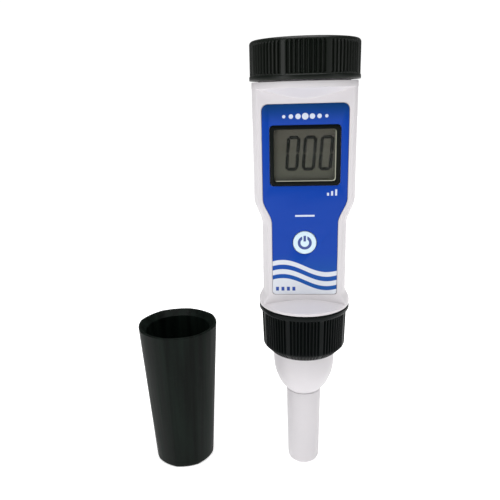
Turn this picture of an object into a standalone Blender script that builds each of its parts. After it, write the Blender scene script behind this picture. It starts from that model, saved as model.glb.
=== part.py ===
"""Pocket digital water tester with its protective cap standing beside it.

Metres, +Z up.  The tester's axis is the Z axis and its display faces -Y.
The origin is the point on the axis where a hand grips the waist.
Heights are counted upwards from the open tip of the probe.
"""
import math

import bmesh
import bpy
from mathutils import Matrix, Vector

MM = 0.001
GRIP_HEIGHT = 88.0 * MM
COLLECTION_NAME = "water_tester"
WELD = 0.00001
GAP = 0.3 * MM
FLAT_GAP = 0.1 * MM
ROUND_STEPS = 36
CAP_STEPS = 48
SMALL_STEPS = 20

# Housing: a turned shell with a flat front
FACE_Y = 8.0 * MM
UPPER_RADIUS = 18.2 * MM
WAIST_RADIUS = 15.4 * MM
WALL = 1.6 * MM
WAIST_LOW = 74.7 * MM
WAIST_HIGH = 99.7 * MM
SHOULDER_HEIGHT = 109.5 * MM
FLANGE_BOTTOM = 69.1 * MM
FLANGE_TOP = 70.2 * MM
FLANGE_RADIUS = 17.0 * MM
LIP_BOTTOM = 147.2 * MM
LIP_TOP = 149.3 * MM
LIP_RADIUS = 18.3 * MM
FACE_LOW = 72.3 * MM
FACE_HIGH = 143.8 * MM
CHAMBER_BOTTOM = 71.6 * MM
CHAMBER_TOP = 146.4 * MM
NECK_TOP = 158.2 * MM
NECK_RADIUS = 15.8 * MM
NECK_BORE = 14.4 * MM
SPIGOT_BOTTOM = 57.0 * MM
SPIGOT_RADIUS = 13.4 * MM
SPIGOT_BORE = 10.8 * MM
THREAD_PITCH = 2.5 * MM
THREAD_WIRE = 0.5 * MM
THREAD_TURNS = 2
THREAD_STEPS = 14
NECK_THREAD_START = 151.6 * MM
SPIGOT_THREAD_START = 60.0 * MM

# Faceplate label
LABEL_BOTTOM = 74.4 * MM
LABEL_TOP = 142.1 * MM
LABEL_UPPER_HALF = 14.7 * MM
LABEL_LOWER_HALF = 11.6 * MM
LABEL_TAPER_TOP = 110.0 * MM
LABEL_TAPER_BOTTOM = 101.0 * MM
LABEL_CORNER = 2.2 * MM
LABEL_THICKNESS = 0.35 * MM
LABEL_RECESS = 0.55 * MM

# Display
DISPLAY_HEIGHT = 124.8 * MM
BEZEL_HALF = (12.0 * MM, 10.2 * MM)
GLASS_HALF = (10.7 * MM, 8.9 * MM)
BEZEL_CORNER = 1.4 * MM
BEZEL_DEPTH = 1.5 * MM
PANEL_HALF = (11.6 * MM, 10.0 * MM)
HOLDER_HALF = (13.0 * MM, 12.2 * MM)
STRIP_OFFSET = 8.8 * MM

# Power button
BUTTON_HEIGHT = 94.0 * MM
BUTTON_RADIUS = 4.15 * MM
BUTTON_PROUD = 0.2 * MM
SWITCH_HALF = 3.0 * MM
PLUNGER_RADIUS = 1.75 * MM

# Circuit board
BOARD_FRONT = -1.4 * MM
BOARD_THICKNESS = 1.6 * MM
BOARD_TOP = 141.0 * MM
BOARD_BOTTOM = 78.9 * MM
BOARD_UPPER_HALF = 13.8 * MM
BOARD_WAIST_HALF = 11.5 * MM
BOARD_FOOT_HALF = 8.5 * MM
SCREW_PLACES = (("upper_left", -11.4 * MM, 138.1 * MM),
                ("upper_right", 11.4 * MM, 138.1 * MM),
                ("lower", 0.0, 111.6 * MM))
SCREW_RADIUS = 0.75 * MM
SCREW_HEAD_RADIUS = 1.5 * MM

# Battery compartment
HOLDER_BOTTOM = 147.5 * MM
HOLDER_TOP = 158.0 * MM
HOLDER_RADIUS = 14.0 * MM
CELL_RADIUS = 5.8 * MM
CELL_THICKNESS = 4.1 * MM
CELL_OFFSET = 6.9 * MM
SPRING_STEPS = 24
WELL_RADIUS = 6.15 * MM
WELL_BOTTOM = 148.3 * MM
CELL_BOTTOM = 150.0 * MM
TRIMMER_Y = 9.6 * MM
TRIMMER_RADIUS = 3.0 * MM
TRIMMER_TOP = 156.4 * MM
TRIMMER_LENGTH = 6.0 * MM

# Battery cap
CAP_BOTTOM = 149.7 * MM
CAP_TOP = 162.6 * MM
CAP_RADIUS = 18.8 * MM
CAP_SKIRT_RADIUS = 19.0 * MM
CAP_SKIRT_TOP = 151.2 * MM
CAP_BORE = 16.8 * MM
CAP_CEILING = 160.1 * MM
PAD_COUNT = 8
RIB_PITCH = math.radians(7.5)
RIBS_PER_GAP = 4
GROOVE_RADIUS = 0.6 * MM

# Collar nut
COLLAR_BOTTOM = 49.9 * MM
COLLAR_TOP = 68.7 * MM
COLLAR_RADIUS = 16.0 * MM
COLLAR_RIM_RADIUS = 17.0 * MM
COLLAR_FOOT_RADIUS = 12.9 * MM
COLLAR_MOUTH = 12.15 * MM
COLLAR_BORE = 14.4 * MM
COLLAR_LIP_TOP = 53.0 * MM

# Electrode
ELECTRODE_FLANGE_RADIUS = 13.9 * MM
ELECTRODE_FLANGE = (53.3 * MM, 55.6 * MM)
ELECTRODE_STEM_RADIUS = 10.4 * MM
ELECTRODE_STEM_TOP = 70.4 * MM
SHOULDER_RADIUS = 11.75 * MM
SHOULDER_BOTTOM = 32.6 * MM
TUBE_SOCKET_RADIUS = 5.9 * MM
TUBE_SOCKET_TOP = 39.0 * MM
TUBE_TOP_RADIUS = 6.75 * MM
TUBE_TIP_RADIUS = 6.2 * MM
TUBE_BORE = 4.3 * MM
INSERT_RADIUS = 4.0 * MM
INSERT_BOTTOM = 14.0 * MM
ROD_RADIUS = 0.8 * MM
ROD_OFFSET = 2.1 * MM
ROD_BOTTOM = 8.0 * MM
ROD_TOP = 77.0 * MM
SOCKET_BOTTOM = 71.6 * MM
SOCKET_TOP = 78.6 * MM
SOCKET_Y = 0.5 * MM
SOCKET_WIDTH = 12.0 * MM
SOCKET_DEPTH = 7.8 * MM

# Protective cap
SLEEVE_X = -49.9 * MM
SLEEVE_Y = 1.5 * MM
SLEEVE_HEIGHT = 58.8 * MM
SLEEVE_BASE_RADIUS = 12.1 * MM
SLEEVE_MOUTH_RADIUS = 15.7 * MM
SLEEVE_FLOOR = 2.4 * MM
SLEEVE_BORE = 12.6 * MM
SLEEVE_BORE_FOOT = 9.7 * MM
SLEEVE_SEAT_DEPTH = 2.2 * MM
SLEEVE_SOFTNESS = 0.012
SLEEVE_CORNER_ANGLE = math.radians(36.0)

WHITE_PLASTIC = ((0.78, 0.77, 0.78), 0.45, 0.0)
BLACK_PLASTIC = ((0.012, 0.013, 0.013), 0.5, 0.0)
BLUE_FILM = ((0.01, 0.035, 0.30), 0.35, 0.0)
CLEAR_PLASTIC = ((0.8, 0.82, 0.8), 0.08, 0.0)
DISPLAY_GLASS = ((0.16, 0.16, 0.13), 0.25, 0.0)
RUBBER = ((0.02, 0.02, 0.02), 0.8, 0.0)
GREEN_BOARD = ((0.02, 0.14, 0.05), 0.5, 0.0)
METAL = ((0.6, 0.6, 0.58), 0.3, 1.0)
BLUE_PLASTIC = ((0.05, 0.12, 0.4), 0.4, 0.0)


def clear_scene():
    for item in list(bpy.data.objects):
        bpy.data.objects.remove(item, do_unlink=True)


def make_collections():
    parts = bpy.data.collections.new(COLLECTION_NAME)
    cutters = bpy.data.collections.new("cutters")
    bpy.context.scene.collection.children.link(parts)
    bpy.context.scene.collection.children.link(cutters)
    return parts, cutters


clear_scene()
PARTS, CUTTERS = make_collections()


def finish_for(name, look):
    colour, roughness, metallic = look
    material = bpy.data.materials.new(name)
    material.use_nodes = True
    shader = material.node_tree.nodes["Principled BSDF"]
    shader.inputs["Base Color"].default_value = (*colour, 1.0)
    shader.inputs["Roughness"].default_value = roughness
    shader.inputs["Metallic"].default_value = metallic
    return material


def add_object(name, mesh, look=None):
    """Link a mesh as a part, or as a cutter when it has no look."""
    item = bpy.data.objects.new(name, mesh)
    if look is None:
        CUTTERS.objects.link(item)
        item.hide_render = True
        item.display_type = "WIRE"
    else:
        PARTS.objects.link(item)
        mesh.materials.append(finish_for(name, look))
    return item


def level(height):
    """Z of a height that is counted from the probe's tip."""
    return height - GRIP_HEIGHT


def mesh_from(builder, name):
    work = bmesh.new()
    builder(work)
    mesh = bpy.data.meshes.new(name)
    work.to_mesh(mesh)
    work.free()
    return mesh


def turned(name, profile, look=None, place=(0.0, 0.0), steps=ROUND_STEPS, ring=False):
    """Turn (radius, height) points, outer side first and top to bottom."""
    def build(work):
        corners = [work.verts.new((radius, 0.0, level(height))) for radius, height in profile]
        for first, second in zip(corners, corners[1:]):
            work.edges.new((first, second))
        if ring:
            work.edges.new((corners[-1], corners[0]))
    item = add_object(name, mesh_from(build, name), look)
    item.location = (place[0], place[1], 0.0)
    screw = item.modifiers.new("turn", "SCREW")
    screw.steps = steps
    screw.render_steps = steps
    screw.use_merge_vertices = True
    screw.merge_threshold = WELD
    return item


def disc(name, radius, low, high, look=None, place=(0.0, 0.0), steps=ROUND_STEPS):
    profile = [(0.0, high), (radius, high), (radius, low), (0.0, low)]
    return turned(name, profile, look, place, steps)


def ring(name, inner, outer, low, high, look=None, place=(0.0, 0.0), steps=ROUND_STEPS):
    profile = [(outer, high), (outer, low), (inner, low), (inner, high)]
    return turned(name, profile, look, place, steps, ring=True)


def block(name, centre, size, look=None):
    def build(work):
        bmesh.ops.create_cube(work, size=1.0)
        bmesh.ops.scale(work, vec=size, verts=work.verts)
    item = add_object(name, mesh_from(build, name), look)
    item.location = centre
    return item


def pin_along_y(name, radius, front, back, x, height, look=None, steps=SMALL_STEPS):
    """A plain cylinder whose axis runs front to back."""
    def build(work):
        bmesh.ops.create_cone(work, cap_ends=True, segments=steps, radius1=radius,
                              radius2=radius, depth=back - front)
    item = add_object(name, mesh_from(build, name), look)
    item.rotation_euler = (math.radians(90.0), 0.0, 0.0)
    item.location = (x, (front + back) / 2, level(height))
    return item


def plate(name, outlines, front, back, look=None):
    """Flat outlines of (x, height) points, filled and thickened from front to back."""
    curve = bpy.data.curves.new(name, "CURVE")
    curve.dimensions = "2D"
    curve.fill_mode = "BOTH"
    curve.extrude = (back - front) / 2
    for outline in outlines:
        spline = curve.splines.new("POLY")
        spline.points.add(len(outline) - 1)
        spline.use_cyclic_u = True
        for point, (x, height) in zip(spline.points, outline):
            point.co = (x, level(height), 0.0, 1.0)
    source = bpy.data.objects.new(name + "_outline", curve)
    bpy.context.scene.collection.objects.link(source)
    bpy.context.view_layer.update()
    solid = source.evaluated_get(bpy.context.evaluated_depsgraph_get())
    mesh = bpy.data.meshes.new_from_object(solid)
    bpy.data.objects.remove(source, do_unlink=True)
    work = bmesh.new()
    work.from_mesh(mesh)
    bmesh.ops.remove_doubles(work, verts=work.verts, dist=WELD)
    bmesh.ops.recalc_face_normals(work, faces=work.faces)
    upright = Matrix.Rotation(math.radians(90.0), 4, "X")
    middle = Matrix.Translation((0.0, (front + back) / 2, 0.0))
    bmesh.ops.transform(work, matrix=middle @ upright, verts=work.verts)
    work.to_mesh(mesh)
    work.free()
    mesh.materials.clear()
    return add_object(name, mesh, look)


def rounded_box(half_width, half_height, corner, centre_height, centre_x=0.0, steps=4):
    """Counter-clockwise outline of a rectangle with round corners."""
    points = []
    for turn in range(4):
        quarter = math.radians(90.0 * turn)
        sign_x = 1 if turn in (0, 3) else -1
        sign_z = 1 if turn in (0, 1) else -1
        for step in range(steps + 1):
            angle = quarter + math.radians(90.0) * step / steps
            x = centre_x + sign_x * (half_width - corner) + corner * math.cos(angle)
            z = centre_height + sign_z * (half_height - corner) + corner * math.sin(angle)
            points.append((x, z))
    return points


def circle_outline(radius, x, height, steps=SMALL_STEPS):
    angles = [2 * math.pi * step / steps for step in range(steps)]
    return [(x + radius * math.cos(a), height + radius * math.sin(a)) for a in angles]


def boolean(target, other, operation="DIFFERENCE"):
    modifier = target.modifiers.new(other.name, "BOOLEAN")
    modifier.object = other
    modifier.operation = operation
    modifier.solver = "EXACT"


def wire_mesh(name, points, radius):
    """A round bead along the points, as a welded mesh that a Boolean can use."""
    curve = bpy.data.curves.new(name, "CURVE")
    curve.dimensions = "3D"
    curve.bevel_depth = radius
    curve.bevel_resolution = 0
    curve.use_fill_caps = True
    spline = curve.splines.new("POLY")
    spline.points.add(len(points) - 1)
    for point, place in zip(spline.points, points):
        point.co = (*place, 1.0)
    source = bpy.data.objects.new(name + "_path", curve)
    bpy.context.scene.collection.objects.link(source)
    bpy.context.view_layer.update()
    solid = source.evaluated_get(bpy.context.evaluated_depsgraph_get())
    mesh = bpy.data.meshes.new_from_object(solid)
    bpy.data.objects.remove(source, do_unlink=True)
    work = bmesh.new()
    work.from_mesh(mesh)
    bmesh.ops.remove_doubles(work, verts=work.verts, dist=WELD)
    bmesh.ops.recalc_face_normals(work, faces=work.faces)
    work.to_mesh(mesh)
    work.free()
    mesh.materials.clear()
    return mesh


def thread_ridge(name, radius, low):
    """One helical ridge, half sunk in the wall that carries it."""
    points = []
    for step in range(THREAD_STEPS * THREAD_TURNS + 1):
        turn = step / THREAD_STEPS
        angle = 2 * math.pi * turn
        z = level(low + THREAD_PITCH * turn)
        points.append((radius * math.cos(angle), radius * math.sin(angle), z))
    return add_object(name, wire_mesh(name, points, THREAD_WIRE))


def smooth_step(value, low, high):
    share = min(max((value - low) / (high - low), 0.0), 1.0)
    return share * share * (3.0 - 2.0 * share)


def body_radius(height):
    """Radius of the turned body: wide head, slim waist, flared foot."""
    head = smooth_step(height, WAIST_HIGH, SHOULDER_HEIGHT)
    foot = 1.0 - smooth_step(height, FLANGE_TOP, WAIST_LOW)
    radius = WAIST_RADIUS + (UPPER_RADIUS - WAIST_RADIUS) * head
    return radius + (FLANGE_RADIUS - WAIST_RADIUS) * foot


def end_cone_radius(height):
    """Radius of the cones that carry the flat face out to the round ends."""
    if height <= FACE_LOW:
        share = (FACE_LOW - height) / (FACE_LOW - FLANGE_TOP)
        return FACE_Y + (FLANGE_RADIUS - FACE_Y) * min(share, 1.0)
    if height >= FACE_HIGH:
        share = (height - FACE_HIGH) / (LIP_BOTTOM - FACE_HIGH)
        return FACE_Y + (LIP_RADIUS - FACE_Y) * min(share, 1.0)
    return 0.0


def flat_front_ring(radius, face, cone):
    """Half the points cross the flat front and half follow the round back."""
    flat_steps = 4
    arc_steps = 13
    crease = math.acos(min(face / radius, 1.0))
    half = [(radius * math.sin(crease) * i / flat_steps, -face) for i in range(flat_steps + 1)]
    for i in range(1, arc_steps + 1):
        angle = crease + (math.pi - crease) * i / arc_steps
        half.append((radius * math.sin(angle), -radius * math.cos(angle)))
    points = half + [(-x, y) for x, y in reversed(half[1:-1])]
    grown = []
    for x, y in points:
        swell = max(1.0, cone / math.hypot(x, y))
        grown.append((x * swell, y * swell))
    return grown


def body_ring(height, inset=0.0):
    radius = body_radius(height) - inset
    cone = end_cone_radius(height) - inset
    return flat_front_ring(radius, FACE_Y - inset, max(cone, 0.0))


def round_ring(radius):
    """A circle that keeps the directions of the flat-front rings."""
    points = flat_front_ring(UPPER_RADIUS, FACE_Y, 0.0)
    return [(x * radius / math.hypot(x, y), y * radius / math.hypot(x, y)) for x, y in points]


def spaced(low, high, count):
    return [low + (high - low) * i / count for i in range(count + 1)]


def housing_outside():
    """(height, ring) pairs up the outside, from the spigot to the neck."""
    stations = [(SPIGOT_BOTTOM, round_ring(SPIGOT_RADIUS - 0.5 * MM)),
                (SPIGOT_BOTTOM + 0.5 * MM, round_ring(SPIGOT_RADIUS)),
                (FLANGE_BOTTOM, round_ring(SPIGOT_RADIUS)),
                (FLANGE_BOTTOM, round_ring(FLANGE_RADIUS))]
    heights = spaced(FLANGE_TOP, FACE_LOW, 3) + [WAIST_LOW, WAIST_HIGH]
    heights += spaced(WAIST_HIGH, SHOULDER_HEIGHT, 4)[1:] + [FACE_HIGH]
    heights += spaced(FACE_HIGH, LIP_BOTTOM, 3)[1:]
    stations += [(height, body_ring(height)) for height in heights]
    stations += [(LIP_TOP, round_ring(LIP_RADIUS)),
                 (LIP_TOP, round_ring(NECK_RADIUS)),
                 (NECK_TOP - 0.5 * MM, round_ring(NECK_RADIUS)),
                 (NECK_TOP, round_ring(NECK_RADIUS - 0.5 * MM))]
    return stations


def housing_inside():
    """(height, ring) pairs down the inside, from the neck to the spigot."""
    heights = [CHAMBER_TOP] + spaced(WAIST_HIGH, SHOULDER_HEIGHT, 2)[::-1] + [WAIST_LOW, CHAMBER_BOTTOM]
    stations = [(NECK_TOP, round_ring(NECK_BORE)), (CHAMBER_TOP + 0.6 * MM, round_ring(NECK_BORE))]
    stations += [(height, body_ring_inside(height)) for height in heights]
    stations += [(CHAMBER_BOTTOM - 0.5 * MM, round_ring(SPIGOT_BORE)),
                 (SPIGOT_BOTTOM, round_ring(SPIGOT_BORE))]
    return stations


def body_ring_inside(height):
    return flat_front_ring(body_radius(height) - WALL, FACE_Y - WALL, 0.0)


def loft_round(name, stations, look):
    """Join rings in turn, and the last ring to the first, into one tube-like solid."""
    def build(work):
        loops = [[work.verts.new((x, y, level(height))) for x, y in ring_points]
                 for height, ring_points in stations]
        for lower, upper in zip(loops, loops[1:] + loops[:1]):
            count = len(lower)
            for k in range(count):
                after = (k + 1) % count
                work.faces.new((lower[k], lower[after], upper[after], upper[k]))
    return add_object(name, mesh_from(build, name), look)


def label_outline(margin=0.0):
    """Wide at the display, narrow at the waist, with rounded corners."""
    upper = LABEL_UPPER_HALF + margin
    lower = LABEL_LOWER_HALF + margin
    top = LABEL_TOP + margin
    bottom = LABEL_BOTTOM - margin
    right = [(lower - LABEL_CORNER / 2, bottom), (lower, bottom + LABEL_CORNER / 2)]
    for height in spaced(LABEL_TAPER_BOTTOM, LABEL_TAPER_TOP, 8):
        share = smooth_step(height, LABEL_TAPER_BOTTOM, LABEL_TAPER_TOP)
        right.append((lower + (upper - lower) * share, height))
    for step in range(5):
        angle = math.radians(90.0) * step / 4
        right.append((upper - LABEL_CORNER + LABEL_CORNER * math.cos(angle),
                      top - LABEL_CORNER + LABEL_CORNER * math.sin(angle)))
    return right + [(-x, height) for x, height in reversed(right)]


def make_housing():
    housing = loft_round("housing", housing_outside() + housing_inside(), WHITE_PLASTIC)
    boolean(housing, thread_ridge("neck_thread", NECK_RADIUS, NECK_THREAD_START), "UNION")
    boolean(housing, thread_ridge("spigot_thread", SPIGOT_RADIUS, SPIGOT_THREAD_START), "UNION")
    recess = plate("label_recess", [label_outline(0.15 * MM)], -FACE_Y - 1 * MM,
                   -FACE_Y + LABEL_RECESS)
    window = plate("window_opening",
                   [rounded_box(BEZEL_HALF[0] + 0.2 * MM, BEZEL_HALF[1] + 0.2 * MM,
                                BEZEL_CORNER, DISPLAY_HEIGHT)], -FACE_Y - 1 * MM, -FACE_Y + 2.5 * MM)
    hole = pin_along_y("button_opening", BUTTON_RADIUS + 0.25 * MM, -FACE_Y - 1 * MM,
                       -FACE_Y + 2.5 * MM, 0.0, BUTTON_HEIGHT)
    for cutter in (recess, window, hole):
        boolean(housing, cutter)


def make_label():
    bezel = rounded_box(BEZEL_HALF[0] + 0.2 * MM, BEZEL_HALF[1] + 0.2 * MM,
                        BEZEL_CORNER, DISPLAY_HEIGHT)
    hole = circle_outline(BUTTON_RADIUS + 0.2 * MM, 0.0, BUTTON_HEIGHT)
    back = -FACE_Y + LABEL_RECESS - FLAT_GAP
    plate("face_label", [label_outline(), bezel, hole], back - LABEL_THICKNESS, back, BLUE_FILM)


def make_display():
    front = -FACE_Y
    outer = rounded_box(*BEZEL_HALF, BEZEL_CORNER, DISPLAY_HEIGHT)
    opening = rounded_box(*GLASS_HALF, 1.0 * MM, DISPLAY_HEIGHT)
    plate("display_bezel", [outer, opening], front, front + BEZEL_DEPTH, BLACK_PLASTIC)
    window = rounded_box(GLASS_HALF[0] - 0.2 * MM, GLASS_HALF[1] - 0.2 * MM, 0.8 * MM, DISPLAY_HEIGHT)
    plate("display_window", [window], front + 0.5 * MM, front + BEZEL_DEPTH, CLEAR_PLASTIC)
    panel_front = front + BEZEL_DEPTH + GAP
    panel = rounded_box(*PANEL_HALF, 0.4 * MM, DISPLAY_HEIGHT, steps=2)
    plate("display_panel", [panel], panel_front, panel_front + 1.8 * MM, DISPLAY_GLASS)
    make_display_holder(panel_front)
    for name, height in (("upper", DISPLAY_HEIGHT + STRIP_OFFSET), ("lower", DISPLAY_HEIGHT - STRIP_OFFSET)):
        strip_front = panel_front + 1.8 * MM + FLAT_GAP
        depth = BOARD_FRONT - FLAT_GAP - strip_front
        centre = (0.0, strip_front + depth / 2, level(height))
        block("contact_strip_" + name, centre, (20.0 * MM, depth, 1.6 * MM), RUBBER)


def make_display_holder(panel_front):
    """A frame round the panel, with three ears that take the screws."""
    frame = rounded_box(*HOLDER_HALF, 1.0 * MM, DISPLAY_HEIGHT, steps=2)
    inside = rounded_box(PANEL_HALF[0] + GAP, PANEL_HALF[1] + GAP, 0.4 * MM, DISPLAY_HEIGHT, steps=2)
    holder = plate("display_holder", [frame, inside], panel_front, BOARD_FRONT - FLAT_GAP,
                   WHITE_PLASTIC)
    for name, x, height in SCREW_PLACES:
        front = BOARD_FRONT - 2.6 * MM
        ear = pin_along_y("ear_" + name, 1.9 * MM, front, BOARD_FRONT - FLAT_GAP, x, height)
        boolean(holder, ear, "UNION")
    for name, x, height in SCREW_PLACES:
        hole = pin_along_y("ear_hole_" + name, SCREW_RADIUS + 0.15 * MM, BOARD_FRONT - 2.2 * MM,
                           BOARD_FRONT + 1 * MM, x, height, steps=12)
        boolean(holder, hole)


def board_outline():
    right = [(BOARD_FOOT_HALF, BOARD_BOTTOM), (BOARD_FOOT_HALF, 81.0 * MM),
             (BOARD_WAIST_HALF, 84.0 * MM), (BOARD_WAIST_HALF, WAIST_HIGH),
             (BOARD_UPPER_HALF, SHOULDER_HEIGHT), (BOARD_UPPER_HALF, BOARD_TOP)]
    return right + [(-x, height) for x, height in reversed(right)]


def make_board():
    back = BOARD_FRONT + BOARD_THICKNESS
    holes = [circle_outline(SCREW_RADIUS + 0.2 * MM, x, height, 12) for _, x, height in SCREW_PLACES]
    plate("circuit_board", [board_outline()] + holes, BOARD_FRONT, back, GREEN_BOARD)
    chip_y = back + FLAT_GAP + 0.8 * MM
    block("processor_chip", (0.0, chip_y, level(124.0 * MM)), (10 * MM, 1.6 * MM, 10 * MM),
          BLACK_PLASTIC)
    block("amplifier_chip", (0.0, chip_y, level(92.0 * MM)), (5 * MM, 1.5 * MM, 6 * MM),
          BLACK_PLASTIC)
    for name, x, height in SCREW_PLACES:
        make_board_screw("board_screw_" + name, x, height, back + FLAT_GAP)


def make_board_screw(name, x, height, seat):
    screw = pin_along_y(name, SCREW_HEAD_RADIUS, seat, seat + 1.1 * MM, x, height, METAL)
    shank = pin_along_y(name + "_shank", SCREW_RADIUS, seat - 3.4 * MM, seat + 0.5 * MM,
                        x, height, steps=12)
    boolean(screw, shank, "UNION")
    for turn in (0.0, 90.0):
        slot = block(name + "_slot_%d" % turn, (x, seat + 1.1 * MM, level(height)),
                     (1.7 * MM, 1.0 * MM, 0.4 * MM))
        slot.rotation_euler = (0.0, math.radians(turn), 0.0)
        boolean(screw, slot)


def make_switch():
    """A tactile switch on the board, its plunger and the button above it."""
    front = BOARD_FRONT - FLAT_GAP - 3.4 * MM
    depth = BOARD_FRONT - FLAT_GAP - front
    centre = (0.0, front + depth / 2, level(BUTTON_HEIGHT))
    body = block("switch_body", centre, (2 * SWITCH_HALF, depth, 2 * SWITCH_HALF), BLACK_PLASTIC)
    well = pin_along_y("plunger_well", PLUNGER_RADIUS + 0.2 * MM, front - 1 * MM, front + 2.2 * MM,
                       0.0, BUTTON_HEIGHT)
    boolean(body, well)
    button_back = -FACE_Y + 2.2 * MM
    pin_along_y("switch_plunger", PLUNGER_RADIUS, button_back + FLAT_GAP, front + 1.2 * MM,
                0.0, BUTTON_HEIGHT, BLACK_PLASTIC)
    button = pin_along_y("power_button", BUTTON_RADIUS, -FACE_Y - BUTTON_PROUD, button_back,
                         0.0, BUTTON_HEIGHT, WHITE_PLASTIC, steps=28)
    edge = button.modifiers.new("soft_edge", "BEVEL")
    edge.width = 0.15 * MM
    edge.segments = 1


def make_battery_holder():
    holder = turned("battery_holder",
                    [(0.0, HOLDER_TOP), (HOLDER_RADIUS, HOLDER_TOP), (HOLDER_RADIUS, HOLDER_BOTTOM),
                     (0.0, HOLDER_BOTTOM)], WHITE_PLASTIC)
    for side, name in ((-1, "left"), (1, "right")):
        well = disc("cell_well_" + name, WELL_RADIUS, WELL_BOTTOM, HOLDER_TOP + 1 * MM,
                    place=(side * CELL_OFFSET, 0.0), steps=SMALL_STEPS)
        boolean(holder, well)
    hole = disc("trimmer_hole", TRIMMER_RADIUS + 0.35 * MM, HOLDER_BOTTOM - 1 * MM,
                HOLDER_TOP + 1 * MM, place=(0.0, TRIMMER_Y), steps=SMALL_STEPS)
    boolean(holder, hole)


def make_cells():
    for side, name in ((-1, "left"), (1, "right")):
        for layer, place in ((0, "lower"), (1, "upper")):
            low = CELL_BOTTOM + layer * (CELL_THICKNESS + FLAT_GAP)
            high = low + CELL_THICKNESS
            rim = 0.4 * MM
            profile = [(0.0, high), (CELL_RADIUS - 1.2 * MM, high), (CELL_RADIUS - 1.2 * MM, high - rim),
                       (CELL_RADIUS - rim, high - rim), (CELL_RADIUS, high - 2 * rim),
                       (CELL_RADIUS, low + rim), (CELL_RADIUS - rim, low), (0.0, low)]
            turned("cell_%s_%s" % (name, place), profile, METAL, (side * CELL_OFFSET, 0.0), SMALL_STEPS)


def make_contacts():
    """A coiled spring under each pair of cells and a strap across their tops."""
    for side, name in ((-1, "left"), (1, "right")):
        points = []
        for step in range(SPRING_STEPS + 1):
            share = step / SPRING_STEPS
            angle = 2 * math.pi * 3 * share
            radius = (4.4 - 2.2 * share) * MM
            z = level(WELL_BOTTOM + 0.35 * MM + share * 1.1 * MM)
            points.append((side * CELL_OFFSET + radius * math.cos(angle), radius * math.sin(angle), z))
        add_object("contact_spring_" + name, wire_mesh("spring", points, 0.16 * MM), METAL)
    top = CELL_BOTTOM + 2 * CELL_THICKNESS + 2 * FLAT_GAP
    block("contact_strap", (0.0, 0.0, level(top + 0.2 * MM)), (18 * MM, 4.5 * MM, 0.3 * MM), METAL)


def make_trimmer():
    body = disc("trimmer_body", TRIMMER_RADIUS, TRIMMER_TOP - TRIMMER_LENGTH, TRIMMER_TOP, BLUE_PLASTIC,
                (0.0, TRIMMER_Y), SMALL_STEPS)
    well = disc("trimmer_well", 1.9 * MM, TRIMMER_TOP - 1.2 * MM, TRIMMER_TOP + 1 * MM,
                place=(0.0, TRIMMER_Y), steps=SMALL_STEPS)
    boolean(body, well)
    rotor = disc("trimmer_rotor", 1.6 * MM, TRIMMER_TOP - 0.9 * MM, TRIMMER_TOP + 0.5 * MM, METAL,
                 (0.0, TRIMMER_Y), SMALL_STEPS)
    slot = block("rotor_slot", (0.0, TRIMMER_Y, level(TRIMMER_TOP + 0.5 * MM)),
                 (4 * MM, 0.5 * MM, 1.0 * MM))
    boolean(rotor, slot)


def groove_cutter(name, radius, low, high, turn):
    """Fine grooves in eight groups, with a smooth pad between the groups."""
    def build(work):
        for pad in range(PAD_COUNT):
            for rib in range(RIBS_PER_GAP + 1):
                angle = turn + pad * 2 * math.pi / PAD_COUNT + (rib + 1) * RIB_PITCH
                made = bmesh.ops.create_cone(work, cap_ends=True, segments=3, radius1=GROOVE_RADIUS,
                                             radius2=GROOVE_RADIUS, depth=high - low)
                move = Vector((radius * math.sin(angle), -radius * math.cos(angle),
                               level((low + high) / 2)))
                bmesh.ops.rotate(work, cent=(0, 0, 0), verts=made["verts"],
                                 matrix=Matrix.Rotation(angle, 3, "Z"))
                bmesh.ops.translate(work, vec=move, verts=made["verts"])
    return add_object(name, mesh_from(build, name))


def make_battery_cap():
    edge = 1.6 * MM
    profile = [(0.0, CAP_TOP), (CAP_RADIUS - 2.2 * MM, CAP_TOP), (CAP_RADIUS - 0.9 * MM, CAP_TOP - 0.6 * MM),
               (CAP_RADIUS, CAP_TOP - edge), (CAP_RADIUS, CAP_SKIRT_TOP),
               (CAP_SKIRT_RADIUS, CAP_SKIRT_TOP - 0.4 * MM), (CAP_SKIRT_RADIUS, CAP_BOTTOM),
               (CAP_BORE, CAP_BOTTOM), (CAP_BORE, CAP_CEILING), (0.0, CAP_CEILING)]
    cap = turned("battery_cap", profile, BLACK_PLASTIC, steps=CAP_STEPS)
    grooves = groove_cutter("cap_grooves", CAP_RADIUS + 0.1 * MM, CAP_SKIRT_TOP + 0.2 * MM,
                            CAP_TOP - 1.8 * MM, math.radians(20.0))
    boolean(cap, grooves)
    ring("cap_gasket", 12.8 * MM, 15.4 * MM, NECK_TOP + GAP, CAP_CEILING - GAP, RUBBER)


def make_collar():
    profile = [(COLLAR_RIM_RADIUS, COLLAR_TOP), (COLLAR_RIM_RADIUS, COLLAR_TOP - 1.4 * MM),
               (COLLAR_RADIUS, COLLAR_TOP - 2.6 * MM), (COLLAR_RADIUS - 0.4 * MM, COLLAR_BOTTOM + 2.7 * MM),
               (COLLAR_FOOT_RADIUS, COLLAR_BOTTOM), (COLLAR_MOUTH, COLLAR_BOTTOM),
               (COLLAR_MOUTH, COLLAR_LIP_TOP), (COLLAR_BORE, COLLAR_LIP_TOP),
               (COLLAR_BORE, COLLAR_TOP)]
    collar = turned("collar_nut", profile, BLACK_PLASTIC, steps=CAP_STEPS, ring=True)
    grooves = groove_cutter("collar_grooves", COLLAR_RADIUS + 0.1 * MM, COLLAR_BOTTOM + 2.6 * MM,
                            COLLAR_TOP - 2.8 * MM, math.radians(20.0))
    boolean(collar, grooves)


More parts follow.
